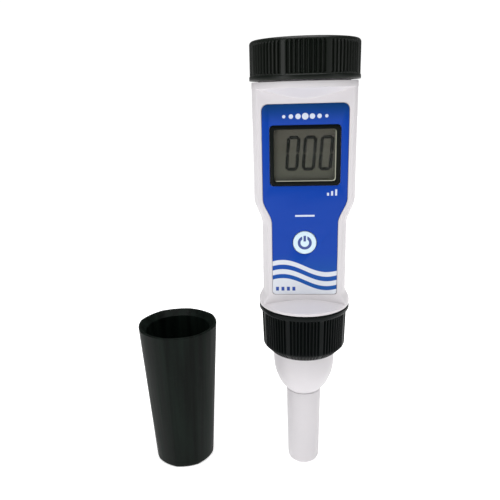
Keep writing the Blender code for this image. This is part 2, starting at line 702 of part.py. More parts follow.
def make_electrode():
    shoulder = SHOULDER_RADIUS
    flange_low, flange_high = ELECTRODE_FLANGE
    bowl = [(shoulder - 0.2 * MM, 43.0), (shoulder - 0.9 * MM, 39.6), (shoulder - 2.4 * MM, 36.0),
            (shoulder - 3.65 * MM, 34.2), (7.0 * MM, 33.2)]
    profile = [(0.0, ELECTRODE_STEM_TOP), (ELECTRODE_STEM_RADIUS, ELECTRODE_STEM_TOP),
               (ELECTRODE_STEM_RADIUS, flange_high), (ELECTRODE_FLANGE_RADIUS, flange_high),
               (ELECTRODE_FLANGE_RADIUS, flange_low), (shoulder, flange_low), (shoulder, 47.0 * MM)]
    profile += [(radius, height * MM) for radius, height in bowl]
    profile += [(7.0 * MM, SHOULDER_BOTTOM), (TUBE_SOCKET_RADIUS, SHOULDER_BOTTOM),
                (TUBE_SOCKET_RADIUS, TUBE_SOCKET_TOP), (0.0, TUBE_SOCKET_TOP)]
    body = turned("electrode_body", profile, WHITE_PLASTIC)
    tube = [(TUBE_SOCKET_RADIUS - GAP, TUBE_SOCKET_TOP - GAP),
            (TUBE_SOCKET_RADIUS - GAP, SHOULDER_BOTTOM - GAP),
            (TUBE_TOP_RADIUS, SHOULDER_BOTTOM - GAP), (TUBE_TIP_RADIUS, 1.6 * MM),
            (TUBE_TIP_RADIUS - 0.5 * MM, 0.5 * MM), (TUBE_TIP_RADIUS - 1.2 * MM, 0.0),
            (TUBE_BORE, 0.0), (TUBE_BORE, TUBE_SOCKET_TOP - GAP)]
    turned("probe_tube", tube, WHITE_PLASTIC, ring=True)
    insert = disc("electrode_insert", INSERT_RADIUS, INSERT_BOTTOM, TUBE_SOCKET_TOP - GAP,
                  BLACK_PLASTIC, steps=SMALL_STEPS)
    ring("electrode_gasket", 10.9 * MM, 13.2 * MM, flange_high + FLAT_GAP, SPIGOT_BOTTOM - GAP, RUBBER)
    return body, insert


def make_rods(body, insert, socket):
    """Two sensing rods and a temperature pin run from the tip to the socket."""
    places = (("sensing_rod_left", -ROD_OFFSET, -0.6 * MM), ("sensing_rod_right", ROD_OFFSET, -0.6 * MM),
              ("temperature_pin", 0.0, 1.9 * MM))
    for name, x, y in places:
        profile = [(0.0, ROD_TOP), (ROD_RADIUS - 0.3 * MM, ROD_TOP), (ROD_RADIUS, ROD_TOP - 0.4 * MM),
                   (ROD_RADIUS, ROD_BOTTOM + 0.4 * MM), (ROD_RADIUS - 0.3 * MM, ROD_BOTTOM),
                   (0.0, ROD_BOTTOM)]
        turned(name, profile, METAL, (x, y), 12)
        hole = disc(name + "_hole", ROD_RADIUS + 0.2 * MM, INSERT_BOTTOM - 1 * MM,
                    SOCKET_TOP + 1 * MM, place=(x, y), steps=12)
        for item in (body, insert, socket):
            boolean(item, hole)


def make_socket():
    """The block under the board that the electrode's pins plug into."""
    centre = (0.0, SOCKET_Y, level((SOCKET_BOTTOM + SOCKET_TOP) / 2))
    size = (SOCKET_WIDTH, SOCKET_DEPTH, SOCKET_TOP - SOCKET_BOTTOM)
    return block("electrode_socket", centre, size, BLACK_PLASTIC)


def sleeve_ring(radius, softness=0.0):
    """A circle round the sleeve's axis, or one with eight slightly flattened sides."""
    points = []
    for step in range(CAP_STEPS):
        angle = 2 * math.pi * step / CAP_STEPS
        wave = (1.0 - math.cos(PAD_COUNT * (angle - SLEEVE_CORNER_ANGLE))) / 2
        reach = radius * (1.0 - softness * wave)
        points.append((SLEEVE_X + reach * math.cos(angle), SLEEVE_Y + reach * math.sin(angle)))
    return points


def sleeve_stations():
    """(height, ring) pairs up the outside, over the mouth and down the bore."""
    outside = [(0.0, SLEEVE_BASE_RADIUS - 1.2 * MM), (0.5 * MM, SLEEVE_BASE_RADIUS - 0.3 * MM),
               (1.4 * MM, SLEEVE_BASE_RADIUS), (SLEEVE_HEIGHT - 0.3 * MM, SLEEVE_MOUTH_RADIUS),
               (SLEEVE_HEIGHT, SLEEVE_MOUTH_RADIUS - 0.3 * MM)]
    inside = [(SLEEVE_HEIGHT, SLEEVE_MOUTH_RADIUS - 0.9 * MM),
              (SLEEVE_HEIGHT - SLEEVE_SEAT_DEPTH, SLEEVE_BORE),
              (SLEEVE_FLOOR + 1.0 * MM, SLEEVE_BORE_FOOT),
              (SLEEVE_FLOOR, SLEEVE_BORE_FOOT - 1.0 * MM)]
    stations = [(height, sleeve_ring(radius, SLEEVE_SOFTNESS)) for height, radius in outside]
    return stations + [(height, sleeve_ring(radius)) for height, radius in inside]


def make_sleeve():
    """The protective cap: a tapered cup whose sloped mouth seats on the collar's foot."""
    def build(work):
        loops = [[work.verts.new((x, y, level(height))) for x, y in points]
                 for height, points in sleeve_stations()]
        for lower, upper in zip(loops, loops[1:]):
            for k in range(CAP_STEPS):
                after = (k + 1) % CAP_STEPS
                work.faces.new((lower[k], lower[after], upper[after], upper[k]))
        work.faces.new(list(reversed(loops[0])))
        work.faces.new(loops[-1])
    add_object("probe_cap", mesh_from(build, "probe_cap"), BLACK_PLASTIC)


def make_tester():
    make_housing()
    make_label()
    make_display()
    make_board()
    make_switch()
    make_battery_holder()
    make_cells()
    make_contacts()
    make_trimmer()
    make_battery_cap()
    make_collar()
    body, insert = make_electrode()
    make_rods(body, insert, make_socket())
    make_sleeve()


make_tester()
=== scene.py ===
# %% [markdown]
# # A pocket water tester and its protective cap
# The tester is a white plastic stick with a black ribbed battery cap on top, a blue
# faceplate with a small display and one button, a black ribbed collar nut and a white
# probe.  Its black cap stands beside it.  Each visible piece is modelled here in fine
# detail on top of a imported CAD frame, which fixes every size and every joint.
# The frame comes first, because every piece has to sit exactly where the CAD says.

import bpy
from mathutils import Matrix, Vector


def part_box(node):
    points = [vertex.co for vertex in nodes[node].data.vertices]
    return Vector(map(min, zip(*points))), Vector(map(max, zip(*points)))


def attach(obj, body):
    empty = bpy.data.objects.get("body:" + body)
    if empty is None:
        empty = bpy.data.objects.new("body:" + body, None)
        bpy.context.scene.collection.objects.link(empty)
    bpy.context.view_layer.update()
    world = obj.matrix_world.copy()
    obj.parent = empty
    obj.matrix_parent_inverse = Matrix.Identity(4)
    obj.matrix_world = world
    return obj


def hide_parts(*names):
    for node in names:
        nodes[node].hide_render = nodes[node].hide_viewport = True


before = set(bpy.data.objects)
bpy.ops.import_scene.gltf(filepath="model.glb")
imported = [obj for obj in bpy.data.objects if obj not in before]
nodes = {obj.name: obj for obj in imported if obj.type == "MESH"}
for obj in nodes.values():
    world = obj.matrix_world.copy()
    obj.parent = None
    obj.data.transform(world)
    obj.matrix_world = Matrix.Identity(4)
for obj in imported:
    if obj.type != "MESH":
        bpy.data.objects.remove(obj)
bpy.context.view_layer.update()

import math

import bmesh
import bpy
from mathutils import Euler, Matrix, Vector

scene = bpy.context.scene

# %% [markdown]
# Heights on the tester are easiest to read as millimetres above the open tip of the
# probe.  The frame is in metres and its origin is where a hand grips the waist, so one
# small function turns such a height into a Z.

# %% Units and heights
MM = 0.001
TIP_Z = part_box("probe_tube")[0].z


def level(height):
    """Z in metres of a height in millimetres above the probe's tip."""
    return TIP_Z + height * MM


def smooth_step(value, low, high):
    share = min(max((value - low) / (high - low), 0.0), 1.0)
    return share * share * (3.0 - 2.0 * share)


def spaced(low, high, count):
    return [low + (high - low) * step / count for step in range(count + 1)]


# %% [markdown]
# ## Camera
# The tester is seen from a little above its waist with the camera tilted down, so the
# upright sides draw together towards the probe.  A slight roll and heading make it lean.
# The camera is set first, because everything else is judged through it.

# %% Camera
CAMERA_PLACE = (-6.77 * MM, -199.0 * MM, level(146.3))
CAMERA_LOOK_DOWN = math.radians(15.99)
CAMERA_HEADING = math.radians(4.3)
CAMERA_ROLL = math.radians(-1.534)

camera_data = bpy.data.cameras.new("studio_camera")
camera_data.sensor_width = 36.0
camera_data.lens = 39.66
camera_data.shift_x = 0.008
camera_data.clip_start = 0.01
camera_data.clip_end = 20.0
camera = bpy.data.objects.new("studio_camera", camera_data)
scene.collection.objects.link(camera)
aim = Euler((math.pi / 2 - CAMERA_LOOK_DOWN, 0.0, CAMERA_HEADING)).to_matrix()
roll = Matrix.Rotation(CAMERA_ROLL, 3, "Z")
camera.matrix_world = Matrix.Translation(CAMERA_PLACE) @ (aim @ roll).to_4x4()
scene.camera = camera
print("camera stands", round(-CAMERA_PLACE[1], 3), "m in front of the tester")

# %% [markdown]
# ## Tools for round pieces
# Nearly every piece of the tester was turned on a lathe or moulded in a turned tool.
# Such a piece can be spun from a profile, or built as a potter does: a circle is
# extruded upwards ring by ring and each ring is scaled.  The second way is used, since
# every ring keeps its own points, which later cells pull in for ribs and flats.

# %% Tools: select, finish and turn
WELD = 0.000001


def deselect_all():
    if bpy.context.mode != "OBJECT":
        bpy.ops.object.mode_set(mode="OBJECT")
    bpy.ops.object.select_all(action="DESELECT")


def choose(piece):
    deselect_all()
    piece.select_set(True)
    bpy.context.view_layer.objects.active = piece


def settle(piece, name):
    """Name a new piece and put its place, turn and scale into its mesh."""
    choose(piece)
    bpy.ops.object.transform_apply(location=True, rotation=True, scale=True)
    piece.name = name
    piece.data.name = name
    return piece


def closed_outwards(piece):
    """Weld doubles and point every face outwards."""
    choose(piece)
    bpy.ops.object.mode_set(mode="EDIT")
    bpy.ops.mesh.select_all(action="SELECT")
    bpy.ops.mesh.remove_doubles(threshold=WELD)
    bpy.ops.mesh.normals_make_consistent(inside=False)
    bpy.ops.object.mode_set(mode="OBJECT")
    return piece


def turned(name, profile, segments, place=(0.0, 0.0), hollow=False):
    """Extrude and scale a circle through (radius, height) points in millimetres."""
    deselect_all()
    x, y = place[0] * MM, place[1] * MM
    radius, height = profile[0]
    bpy.ops.mesh.primitive_circle_add(vertices=segments, radius=radius * MM,
                                      fill_type="NOTHING" if hollow else "NGON",
                                      location=(x, y, level(height)))
    piece = bpy.context.object
    bpy.ops.object.mode_set(mode="EDIT")
    bpy.ops.mesh.select_all(action="SELECT")
    for (radius, height), (wider, higher) in zip(profile, profile[1:]):
        bpy.ops.mesh.extrude_region_move(
            TRANSFORM_OT_translate={"value": (0.0, 0.0, (higher - height) * MM)})
        bpy.ops.transform.resize(value=(wider / radius, wider / radius, 1.0),
                                 center_override=(x, y, level(higher)))
    bpy.ops.object.mode_set(mode="OBJECT")
    return closed_outwards(settle(piece, name))


def smooth_shaded(piece, angle=35.0):
    choose(piece)
    bpy.ops.object.shade_smooth_by_angle(angle=math.radians(angle))
    return piece


def rounded_rim(radius, height, size, side, steps=3):
    """Points round a corner from the flat end (side +1 is a top edge) to the side wall."""
    points = []
    for step in range(steps + 1):
        turn = math.pi / 2 * step / steps
        points.append((radius - size + size * math.sin(turn),
                       height - side * size + side * size * math.cos(turn)))
    return points


def count_faces(piece):
    print(piece.name, "has", len(piece.data.polygons), "faces")
    return piece


# %% [markdown]
# ## Tools for flat pieces
# The display frame, the window and the cutters for their openings are all blocks with
# round corners.  A cube is sized, the four edges that run front to back are bevelled,
# and that is the block.  Cutting one with another is a Boolean.

# %% Tools: rounded blocks, Booleans and soft edges
def rounded_block(name, half_width, half_height, front, back, centre_height, corner,
                  centre_x=0.0, steps=6):
    """A block with its four front-to-back edges rounded; all sizes in millimetres."""
    deselect_all()
    middle = ((centre_x * MM), (front + back) / 2 * MM, level(centre_height))
    bpy.ops.mesh.primitive_cube_add(size=1.0, location=middle)
    piece = bpy.context.object
    piece.scale = (2 * half_width * MM, (back - front) * MM, 2 * half_height * MM)
    settle(piece, name)
    select_edges(piece, lambda a, b: abs(a.y - b.y) > (back - front) * MM / 2)
    bpy.ops.mesh.bevel(offset=corner * MM, segments=steps, affect="EDGES", clamp_overlap=True)
    bpy.ops.object.mode_set(mode="OBJECT")
    return piece


def select_edges(piece, wanted):
    """Enter edit mode with only the edges selected whose two ends pass the test."""
    choose(piece)
    bpy.ops.object.mode_set(mode="EDIT")
    bpy.ops.mesh.select_mode(type="EDGE")
    bpy.ops.mesh.select_all(action="DESELECT")
    work = bmesh.from_edit_mesh(piece.data)
    for edge in work.edges:
        if wanted(edge.verts[0].co, edge.verts[1].co):
            edge.select_set(True)
    bmesh.update_edit_mesh(piece.data)


def select_points(piece, wanted):
    """Enter edit mode with only the points selected whose place passes the test."""
    choose(piece)
    bpy.ops.object.mode_set(mode="EDIT")
    bpy.ops.mesh.select_mode(type="VERT")
    bpy.ops.mesh.select_all(action="DESELECT")
    work = bmesh.from_edit_mesh(piece.data)
    for point in work.verts:
        point.select_set(wanted(point.co))
    bmesh.update_edit_mesh(piece.data)


def apply_boolean(piece, other, operation="DIFFERENCE"):
    """Cut a piece with another, or join them, and remove the other."""
    modifier = piece.modifiers.new("cut", "BOOLEAN")
    modifier.object = other
    modifier.operation = operation
    modifier.solver = "EXACT"
    choose(piece)
    bpy.ops.object.modifier_apply(modifier="cut")
    bpy.data.objects.remove(other, do_unlink=True)
    return piece


def soften_edges(piece, width, segments=2, angle=50.0):
    """Round every edge sharper than the angle."""
    modifier = piece.modifiers.new("soft", "BEVEL")
    modifier.width = width * MM
    modifier.segments = segments
    modifier.limit_method = "ANGLE"
    modifier.angle_limit = math.radians(angle)
    modifier.use_clamp_overlap = True
    choose(piece)
    bpy.ops.object.modifier_apply(modifier="soft")
    return piece


def pin_along_y(name, radius, front, back, centre_x, centre_height, segments=64):
    """A plain round pin from front to back, in millimetres."""
    deselect_all()
    middle = (centre_x * MM, (front + back) / 2 * MM, level(centre_height))
    bpy.ops.mesh.primitive_cylinder_add(vertices=segments, radius=radius * MM,
                                        depth=(back - front) * MM, location=middle,
                                        rotation=(math.pi / 2, 0.0, 0.0))
    return settle(bpy.context.object, name)


# %% [markdown]
# ## Housing
# The housing is one moulding: a wide round head, a narrow round waist, a flange, and a
# flat front sliced off the round body.  It could be a cylinder cut by a box, but then
# the edge of the flat would be knife sharp and its ends ragged.  Here the round shell is
# turned first, and then every point in front of the flat slides back along its own ray.
# The edge of the flat comes out soft, because the slide blends the two shapes.

# %% Housing: sizes
FACE_Y = 8.0
HEAD_RADIUS = 18.2
WAIST_RADIUS = 15.4
WALL = 1.6
FLANGE_RADIUS = 17.0
FLANGE_BOTTOM = 69.1
FLANGE_TOP = 70.2
FACE_LOW = 72.3
FACE_HIGH = 143.8
LIP_RADIUS = 18.3
LIP_BOTTOM = 147.2
LIP_TOP = 149.3
WAIST_LOW = 74.7
WAIST_HIGH = 99.7
SHOULDER = 109.5
NECK_RADIUS = 15.8
NECK_BORE = 14.4
NECK_TOP = 158.2
SPIGOT_RADIUS = 13.4
SPIGOT_BORE = 10.8
SPIGOT_BOTTOM = 57.0
CHAMBER_LOW = 71.6
CHAMBER_HIGH = 146.4
LOW_ZONE = (FLANGE_TOP, 73.2)
HIGH_ZONE = (142.6, LIP_BOTTOM)
FROWN_SHARES = (0.0, 0.2, 0.34, 0.42, 0.47, 0.5, 0.53, 0.58, 0.66, 0.8, 1.0)


def body_radius(height):
    """Radius of the round body: wide head, slim waist, flared foot."""
    head = smooth_step(height, WAIST_HIGH, SHOULDER)
    foot = 1.0 - smooth_step(height, FLANGE_TOP, WAIST_LOW)
    return WAIST_RADIUS + (HEAD_RADIUS - WAIST_RADIUS) * head + (FLANGE_RADIUS - WAIST_RADIUS) * foot


outside_heights = ([LOW_ZONE[0] + (LOW_ZONE[1] - LOW_ZONE[0]) * share for share in FROWN_SHARES]
                   + [73.7, 74.2, WAIST_LOW] + spaced(WAIST_LOW, WAIST_HIGH, 5)[1:]
                   + spaced(WAIST_HIGH, SHOULDER, 22)[1:] + spaced(SHOULDER, HIGH_ZONE[0], 5)[1:]
                   + [HIGH_ZONE[0] + (HIGH_ZONE[1] - HIGH_ZONE[0]) * share for share in FROWN_SHARES[1:]])
print("the housing's outside has", len(outside_heights), "rings")

# %% Housing: turn the round shell
housing_profile = ([(SPIGOT_RADIUS - 0.5, SPIGOT_BOTTOM), (SPIGOT_RADIUS, SPIGOT_BOTTOM + 0.5),
                    (SPIGOT_RADIUS, FLANGE_BOTTOM)]
                   + [(FLANGE_RADIUS - 0.2, FLANGE_BOTTOM), (FLANGE_RADIUS - 0.06, FLANGE_BOTTOM + 0.06),
                      (FLANGE_RADIUS, FLANGE_BOTTOM + 0.2)]
                   + [(body_radius(height), height) for height in outside_heights]
                   + [(LIP_RADIUS, LIP_BOTTOM + 0.1), (LIP_RADIUS, LIP_TOP - 0.2),
                      (LIP_RADIUS - 0.06, LIP_TOP - 0.06), (LIP_RADIUS - 0.2, LIP_TOP),
                      (NECK_RADIUS, LIP_TOP), (NECK_RADIUS, NECK_TOP - 0.5),
                      (NECK_RADIUS - 0.5, NECK_TOP), (NECK_BORE, NECK_TOP),
                      (NECK_BORE, CHAMBER_HIGH + 0.6)]
                   + [(body_radius(height) - WALL, height)
                      for height in [CHAMBER_HIGH] + spaced(SHOULDER, WAIST_HIGH, 10)
                      + [WAIST_LOW, CHAMBER_LOW]]
                   + [(SPIGOT_BORE, CHAMBER_LOW - 0.5), (SPIGOT_BORE, SPIGOT_BOTTOM),
                      (SPIGOT_RADIUS - 0.5, SPIGOT_BOTTOM)])
HOUSING_SEGMENTS = 240
housing = turned("housing_shell", housing_profile, HOUSING_SEGMENTS, hollow=True)
count_faces(housing)

# %% [markdown]
# Now the flat.  Points are first crowded towards the edge of the flat, where the shape
# bends most.  Then each outside point slides back to the plane, and near both ends it
# slides out again along a cone, which gives the curved ledges above and below the face.

# %% Housing: press the flat front
EDGE_BLEND = 0.55
CROWDING = ((0.0, 0.0), (0.16, 50.0), (0.66, 68.0), (1.0, 180.0))


def crowded(turn):
    """Move an azimuth, counted from the front, towards the edge of the flat."""
    share = abs(turn) / math.pi
    for (low, first), (high, last) in zip(CROWDING, CROWDING[1:]):
        if share <= high + 1e-9:
            degrees = first + (last - first) * (share - low) / (high - low)
            return math.copysign(math.radians(degrees), turn)
    return turn


def flat_reach(turn, face):
    """How far a ray goes until it meets the plane of the flat."""
    return face / math.cos(turn) if math.cos(turn) > 0.05 else 1000.0


def soft_least(first, second, blend):
    share = max(blend - abs(first - second), 0.0) / blend
    return min(first, second) - share * share * blend / 4


def frown_height(turn, low_end):
    """Height at which the end cone meets the flat on this ray."""
    top = FLANGE_RADIUS if low_end else HEAD_RADIUS
    share_of = min(flat_reach(turn, FACE_Y), top) - FACE_Y
    if low_end:
        return FACE_LOW - (FACE_LOW - FLANGE_TOP - 0.03) * share_of / (FLANGE_RADIUS - FACE_Y)
    return FACE_HIGH + (LIP_BOTTOM - FACE_HIGH - 0.03) * share_of / (HEAD_RADIUS - FACE_Y)


def zone_height(height, turn, zone, low_end):
    """Slide a ring of an end zone so that its middle one lies on the frown."""
    share = (height - zone[0]) / (zone[1] - zone[0])
    crease = frown_height(turn, low_end)
    if share < 0.5:
        return zone[0] + (crease - zone[0]) * share / 0.5
    return crease + (zone[1] - crease) * (share - 0.5) / 0.5


def cone_reach(height):
    """Radius of the end cones that carry the flat out to the round ends."""
    if height <= FACE_LOW:
        return FACE_Y + (FLANGE_RADIUS - FACE_Y) * min((FACE_LOW - height) / (FACE_LOW - FLANGE_TOP), 1.0)
    if height >= FACE_HIGH:
        return FACE_Y + (LIP_RADIUS - FACE_Y) * min((height - FACE_HIGH) / (LIP_BOTTOM - FACE_HIGH), 1.0)
    return 0.0


for point in housing.data.vertices:
    radius = math.hypot(point.co.x, point.co.y) / MM
    height = (point.co.z - TIP_Z) / MM
    turn = crowded(math.atan2(point.co.x, -point.co.y))
    outside = radius > body_radius(height) - 0.8 and FLANGE_TOP - 0.01 <= height <= LIP_BOTTOM + 0.01
    inside = not outside and CHAMBER_LOW - 0.01 <= height <= CHAMBER_HIGH + 0.01
    if outside:
        if height <= LOW_ZONE[1]:
            height = zone_height(height, turn, LOW_ZONE, True)
        elif height >= HIGH_ZONE[0]:
            height = zone_height(height, turn, HIGH_ZONE, False)
        radius = soft_least(body_radius(height), flat_reach(turn, FACE_Y), EDGE_BLEND)
        radius = max(radius, cone_reach(height))
    if inside:
        radius = min(radius, flat_reach(turn, FACE_Y - WALL))
    point.co = (radius * MM * math.sin(turn), -radius * MM * math.cos(turn), level(height))

flat_points = [point for point in housing.data.vertices if abs(point.co.y + FACE_Y * MM) < WELD]
print(len(flat_points), "points lie on the flat front")

# %% [markdown]
# The label, the bezel and the button all sit in openings of the flat.  The label's
# outline is a plane extruded upwards and scaled at each step, wide at the display and
# narrow at the waist, with its corners rounded by a vertex bevel.  The recess is the
# same outline made a little larger, so one function draws both.

# %% Label outline
LABEL_BOTTOM = 74.4
LABEL_TOP = 142.1
LABEL_UPPER_HALF = 14.7
LABEL_LOWER_HALF = 11.6
LABEL_TAPER = (101.0, 110.0)
LABEL_CORNER = 2.2
LABEL_BACK = FACE_Y - 0.45
LABEL_FRONT = FACE_Y - 0.1
RECESS_DEPTH = 0.55


def label_half_width(height):
    share = smooth_step(height, *LABEL_TAPER)
    return LABEL_LOWER_HALF + (LABEL_UPPER_HALF - LABEL_LOWER_HALF) * share


def label_shape(name, margin, start, end):
    """The faceplate's outline as a solid sheet, from one depth in front of the axis to another."""
    deselect_all()
    bottom, top = LABEL_BOTTOM - margin, LABEL_TOP + margin
    steps = spaced(*LABEL_TAPER, 20) + [top]
    half = LABEL_LOWER_HALF + margin
    middle = (0.0, -start * MM, level((bottom + LABEL_TAPER[0]) / 2))
    bpy.ops.mesh.primitive_plane_add(size=1.0, location=middle, rotation=(math.pi / 2, 0.0, 0.0))
    piece = bpy.context.object
    piece.scale = (2 * half * MM, (LABEL_TAPER[0] - bottom) * MM, 1.0)
    settle(piece, name)
    select_edges(piece, lambda a, b: min(a.z, b.z) > level(LABEL_TAPER[0]) - WELD)
    for height, higher in zip(steps, steps[1:]):
        wider = label_half_width(higher) + margin
        bpy.ops.mesh.extrude_region_move(
            TRANSFORM_OT_translate={"value": (0.0, 0.0, (higher - height) * MM)})
        bpy.ops.transform.resize(value=(wider / half, 1.0, 1.0),
                                 center_override=(0.0, -start * MM, level(higher)))
        half = wider
    for height, corner in ((top, LABEL_CORNER), (bottom, LABEL_CORNER / 2)):
        select_points(piece, lambda place: abs(place.z - level(height)) < WELD)
        bpy.ops.mesh.bevel(offset=corner * MM, segments=6, affect="VERTICES", clamp_overlap=True)
    bpy.ops.mesh.select_all(action="SELECT")
    bpy.ops.mesh.dissolve_limited(angle_limit=math.radians(0.5))
    bpy.ops.mesh.select_all(action="SELECT")
    bpy.ops.mesh.extrude_region_move(
        TRANSFORM_OT_translate={"value": (0.0, (start - end) * MM, 0.0)})
    bpy.ops.object.mode_set(mode="OBJECT")
    return closed_outwards(piece)


# %% [markdown]
# The openings are cut with rounded blocks and a pin, each a little larger than the piece
# that goes in it.  Their rims stay crisp, as on a thin-edged moulding.

# %% Housing: cut the openings
DISPLAY_HEIGHT = 124.8
BEZEL_HALF = (12.0, 10.2)
BEZEL_CORNER = 1.4
GLASS_HALF = (10.7, 8.9)
BUTTON_HEIGHT = 94.0
BUTTON_RADIUS = 4.15
CUT_FRONT = -(FACE_Y + 1.0)
CUT_BACK = -(FACE_Y - 2.5)
RECESS_MARGIN = 0.15

apply_boolean(housing, label_shape("recess_cutter", RECESS_MARGIN, FACE_Y + 1.0, FACE_Y - RECESS_DEPTH))
apply_boolean(housing, rounded_block("display_cutter", BEZEL_HALF[0] + 0.2, BEZEL_HALF[1] + 0.2,
                                     CUT_FRONT, CUT_BACK, DISPLAY_HEIGHT, BEZEL_CORNER))
apply_boolean(housing, pin_along_y("button_cutter", BUTTON_RADIUS + 0.25, CUT_FRONT, CUT_BACK,
                                   0.0, BUTTON_HEIGHT))
count_faces(housing)

# %% [markdown]
# The neck and the spigot carry threads of 2.5 mm pitch, which show when the cap or the
# collar comes off.  A small round section swept by the Screw modifier makes two turns of
# ridge, its two ends are filled, and a Boolean joins it to the shell.

# %% Housing: threads and the finished piece
THREAD_PITCH = 2.5
THREAD_TURNS = 2
THREAD_BEAD = 0.5
THREAD_STEPS = 72
NECK_THREAD_START = 151.6
SPIGOT_THREAD_START = 60.0


def thread_ridge(name, radius, start):
    deselect_all()
    bpy.ops.mesh.primitive_circle_add(vertices=10, radius=THREAD_BEAD * MM, fill_type="NOTHING",
                                      location=(radius * MM, 0.0, level(start)),
                                      rotation=(math.pi / 2, 0.0, 0.0))
    ridge = settle(bpy.context.object, name)
    sweep = ridge.modifiers.new("sweep", "SCREW")
    sweep.angle = 2 * math.pi * THREAD_TURNS
    sweep.screw_offset = THREAD_PITCH * THREAD_TURNS * MM
    sweep.steps = sweep.render_steps = THREAD_STEPS * THREAD_TURNS
    choose(ridge)
    bpy.ops.object.modifier_apply(modifier="sweep")
    bpy.ops.object.mode_set(mode="EDIT")
    bpy.ops.mesh.select_all(action="DESELECT")
    bpy.ops.mesh.select_non_manifold()
    bpy.ops.mesh.fill_holes(sides=0)
    bpy.ops.object.mode_set(mode="OBJECT")
    return closed_outwards(ridge)


apply_boolean(housing, thread_ridge("neck_ridge", NECK_RADIUS, NECK_THREAD_START), "UNION")
apply_boolean(housing, thread_ridge("spigot_ridge", SPIGOT_RADIUS, SPIGOT_THREAD_START), "UNION")

smooth_shaded(housing, 30.0)
housing.name = housing.data.name = "housing_shell"
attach(housing, "handle")
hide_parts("housing")
count_faces(housing)

# %% [markdown]
# ## Battery cap
# The black cap screws onto the neck.  Its ribs stand in eight groups, with a smooth pad
# between the groups.  Cutting seventy-two grooves with Booleans would be slow and leave
# slivers.  Instead the cap is turned with exactly eight columns of faces to each rib,
# and the columns in each groove are scaled in towards the axis.

# %% Ribs: columns, grooves and pads
RIB_SEGMENTS = 640
COLUMNS_PER_RIB = 8
RIBS_PER_GROUP = 10
PAD_TURN = 39 * 2 * math.pi / RIB_SEGMENTS
GROOVE_DEPTHS = (0.85, 0.78, 0.36, 0.06)
RIBBED_WALL = 0.9


def groove_column(place):
    """Columns from the nearest groove's middle, or None on a pad."""
    turn = math.atan2(place.x, -place.y) - PAD_TURN
    column = round(turn * RIB_SEGMENTS / (2 * math.pi)) % (COLUMNS_PER_RIB * RIBS_PER_GROUP)
    groove = round(column / COLUMNS_PER_RIB)
    if groove % RIBS_PER_GROUP == 0:
        return None
    return abs(column - groove * COLUMNS_PER_RIB)


def press_grooves(piece, radius, low, high):
    """Scale the groove columns of the outer wall inwards between two heights."""
    for column, depth in enumerate(GROOVE_DEPTHS):
        def in_column(place):
            outer = math.hypot(place.x, place.y) > (radius - RIBBED_WALL) * MM
            return outer and level(low) < place.z < level(high) and groove_column(place) == column
        select_points(piece, in_column)
        share = (radius - depth) / radius
        bpy.ops.transform.resize(value=(share, share, 1.0), center_override=(0.0, 0.0, 0.0))
        bpy.ops.object.mode_set(mode="OBJECT")
    return piece


# %% Battery cap: turn it, then press the grooves
CAP_BOTTOM = 149.7
CAP_TOP = 162.6
CAP_RADIUS = 18.8
CAP_SKIRT_RADIUS = 19.0
CAP_SKIRT_TOP = 151.2
CAP_BORE = 16.8
CAP_CEILING = 160.1
CAP_RINGS = (151.5, 151.75, 152.0, 154.5, 158.0, 160.8)
CAP_GROOVES = (151.6, 161.5)
cap_profile = ([(CAP_BORE, CAP_CEILING), (CAP_BORE, CAP_BOTTOM + 0.2), (CAP_BORE + 0.2, CAP_BOTTOM)]
               + rounded_rim(CAP_SKIRT_RADIUS, CAP_BOTTOM, 0.25, -1)
               + [(CAP_SKIRT_RADIUS, CAP_SKIRT_TOP - 0.3), (CAP_SKIRT_RADIUS - 0.06, CAP_SKIRT_TOP - 0.06),
                  (CAP_RADIUS, CAP_SKIRT_TOP + 0.1)]
               + [(CAP_RADIUS, height) for height in CAP_RINGS]
               + rounded_rim(CAP_RADIUS, CAP_TOP, 1.25, 1, 8)[::-1]
               + [(CAP_RADIUS - 2.6, CAP_TOP), (CAP_RADIUS - 3.0, CAP_TOP - 0.15),
                  (CAP_RADIUS - 3.4, CAP_TOP - 0.15), (CAP_RADIUS - 3.8, CAP_TOP), (2.0, CAP_TOP)])
battery_cap = turned("battery_cap_ribbed", cap_profile, RIB_SEGMENTS)
press_grooves(battery_cap, CAP_RADIUS, *CAP_GROOVES)
smooth_shaded(battery_cap, 40.0)
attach(battery_cap, "top_cap")
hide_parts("battery_cap")
count_faces(battery_cap)

# %% [markdown]
# ## Collar nut
# The collar nut holds the electrode in the housing.  It has the same ribs, a flared rim
# at its top and a sloping shoulder at its foot, and it is hollow right through, so its
# ring of points ends where it began and is welded there.

# %% Collar nut
COLLAR_RADIUS = 16.0
COLLAR_FOOT = 15.6
COLLAR_RIM = 17.0
COLLAR_TOP = 68.7
COLLAR_BOTTOM = 49.9
COLLAR_MOUTH = 12.15
COLLAR_BORE = 14.4
COLLAR_LIP_TOP = 53.0
COLLAR_RINGS = (52.85, 53.4, 57.0, 61.0, 65.4, 66.15)
COLLAR_GROOVES = (52.3, 66.5)


def collar_wall(height):
    """Radius of the ribbed wall, which widens a little from its foot to its top."""
    low, high = COLLAR_RINGS[0], COLLAR_RINGS[-1]
    return COLLAR_FOOT + (COLLAR_RADIUS - COLLAR_FOOT) * (height - low) / (high - low)


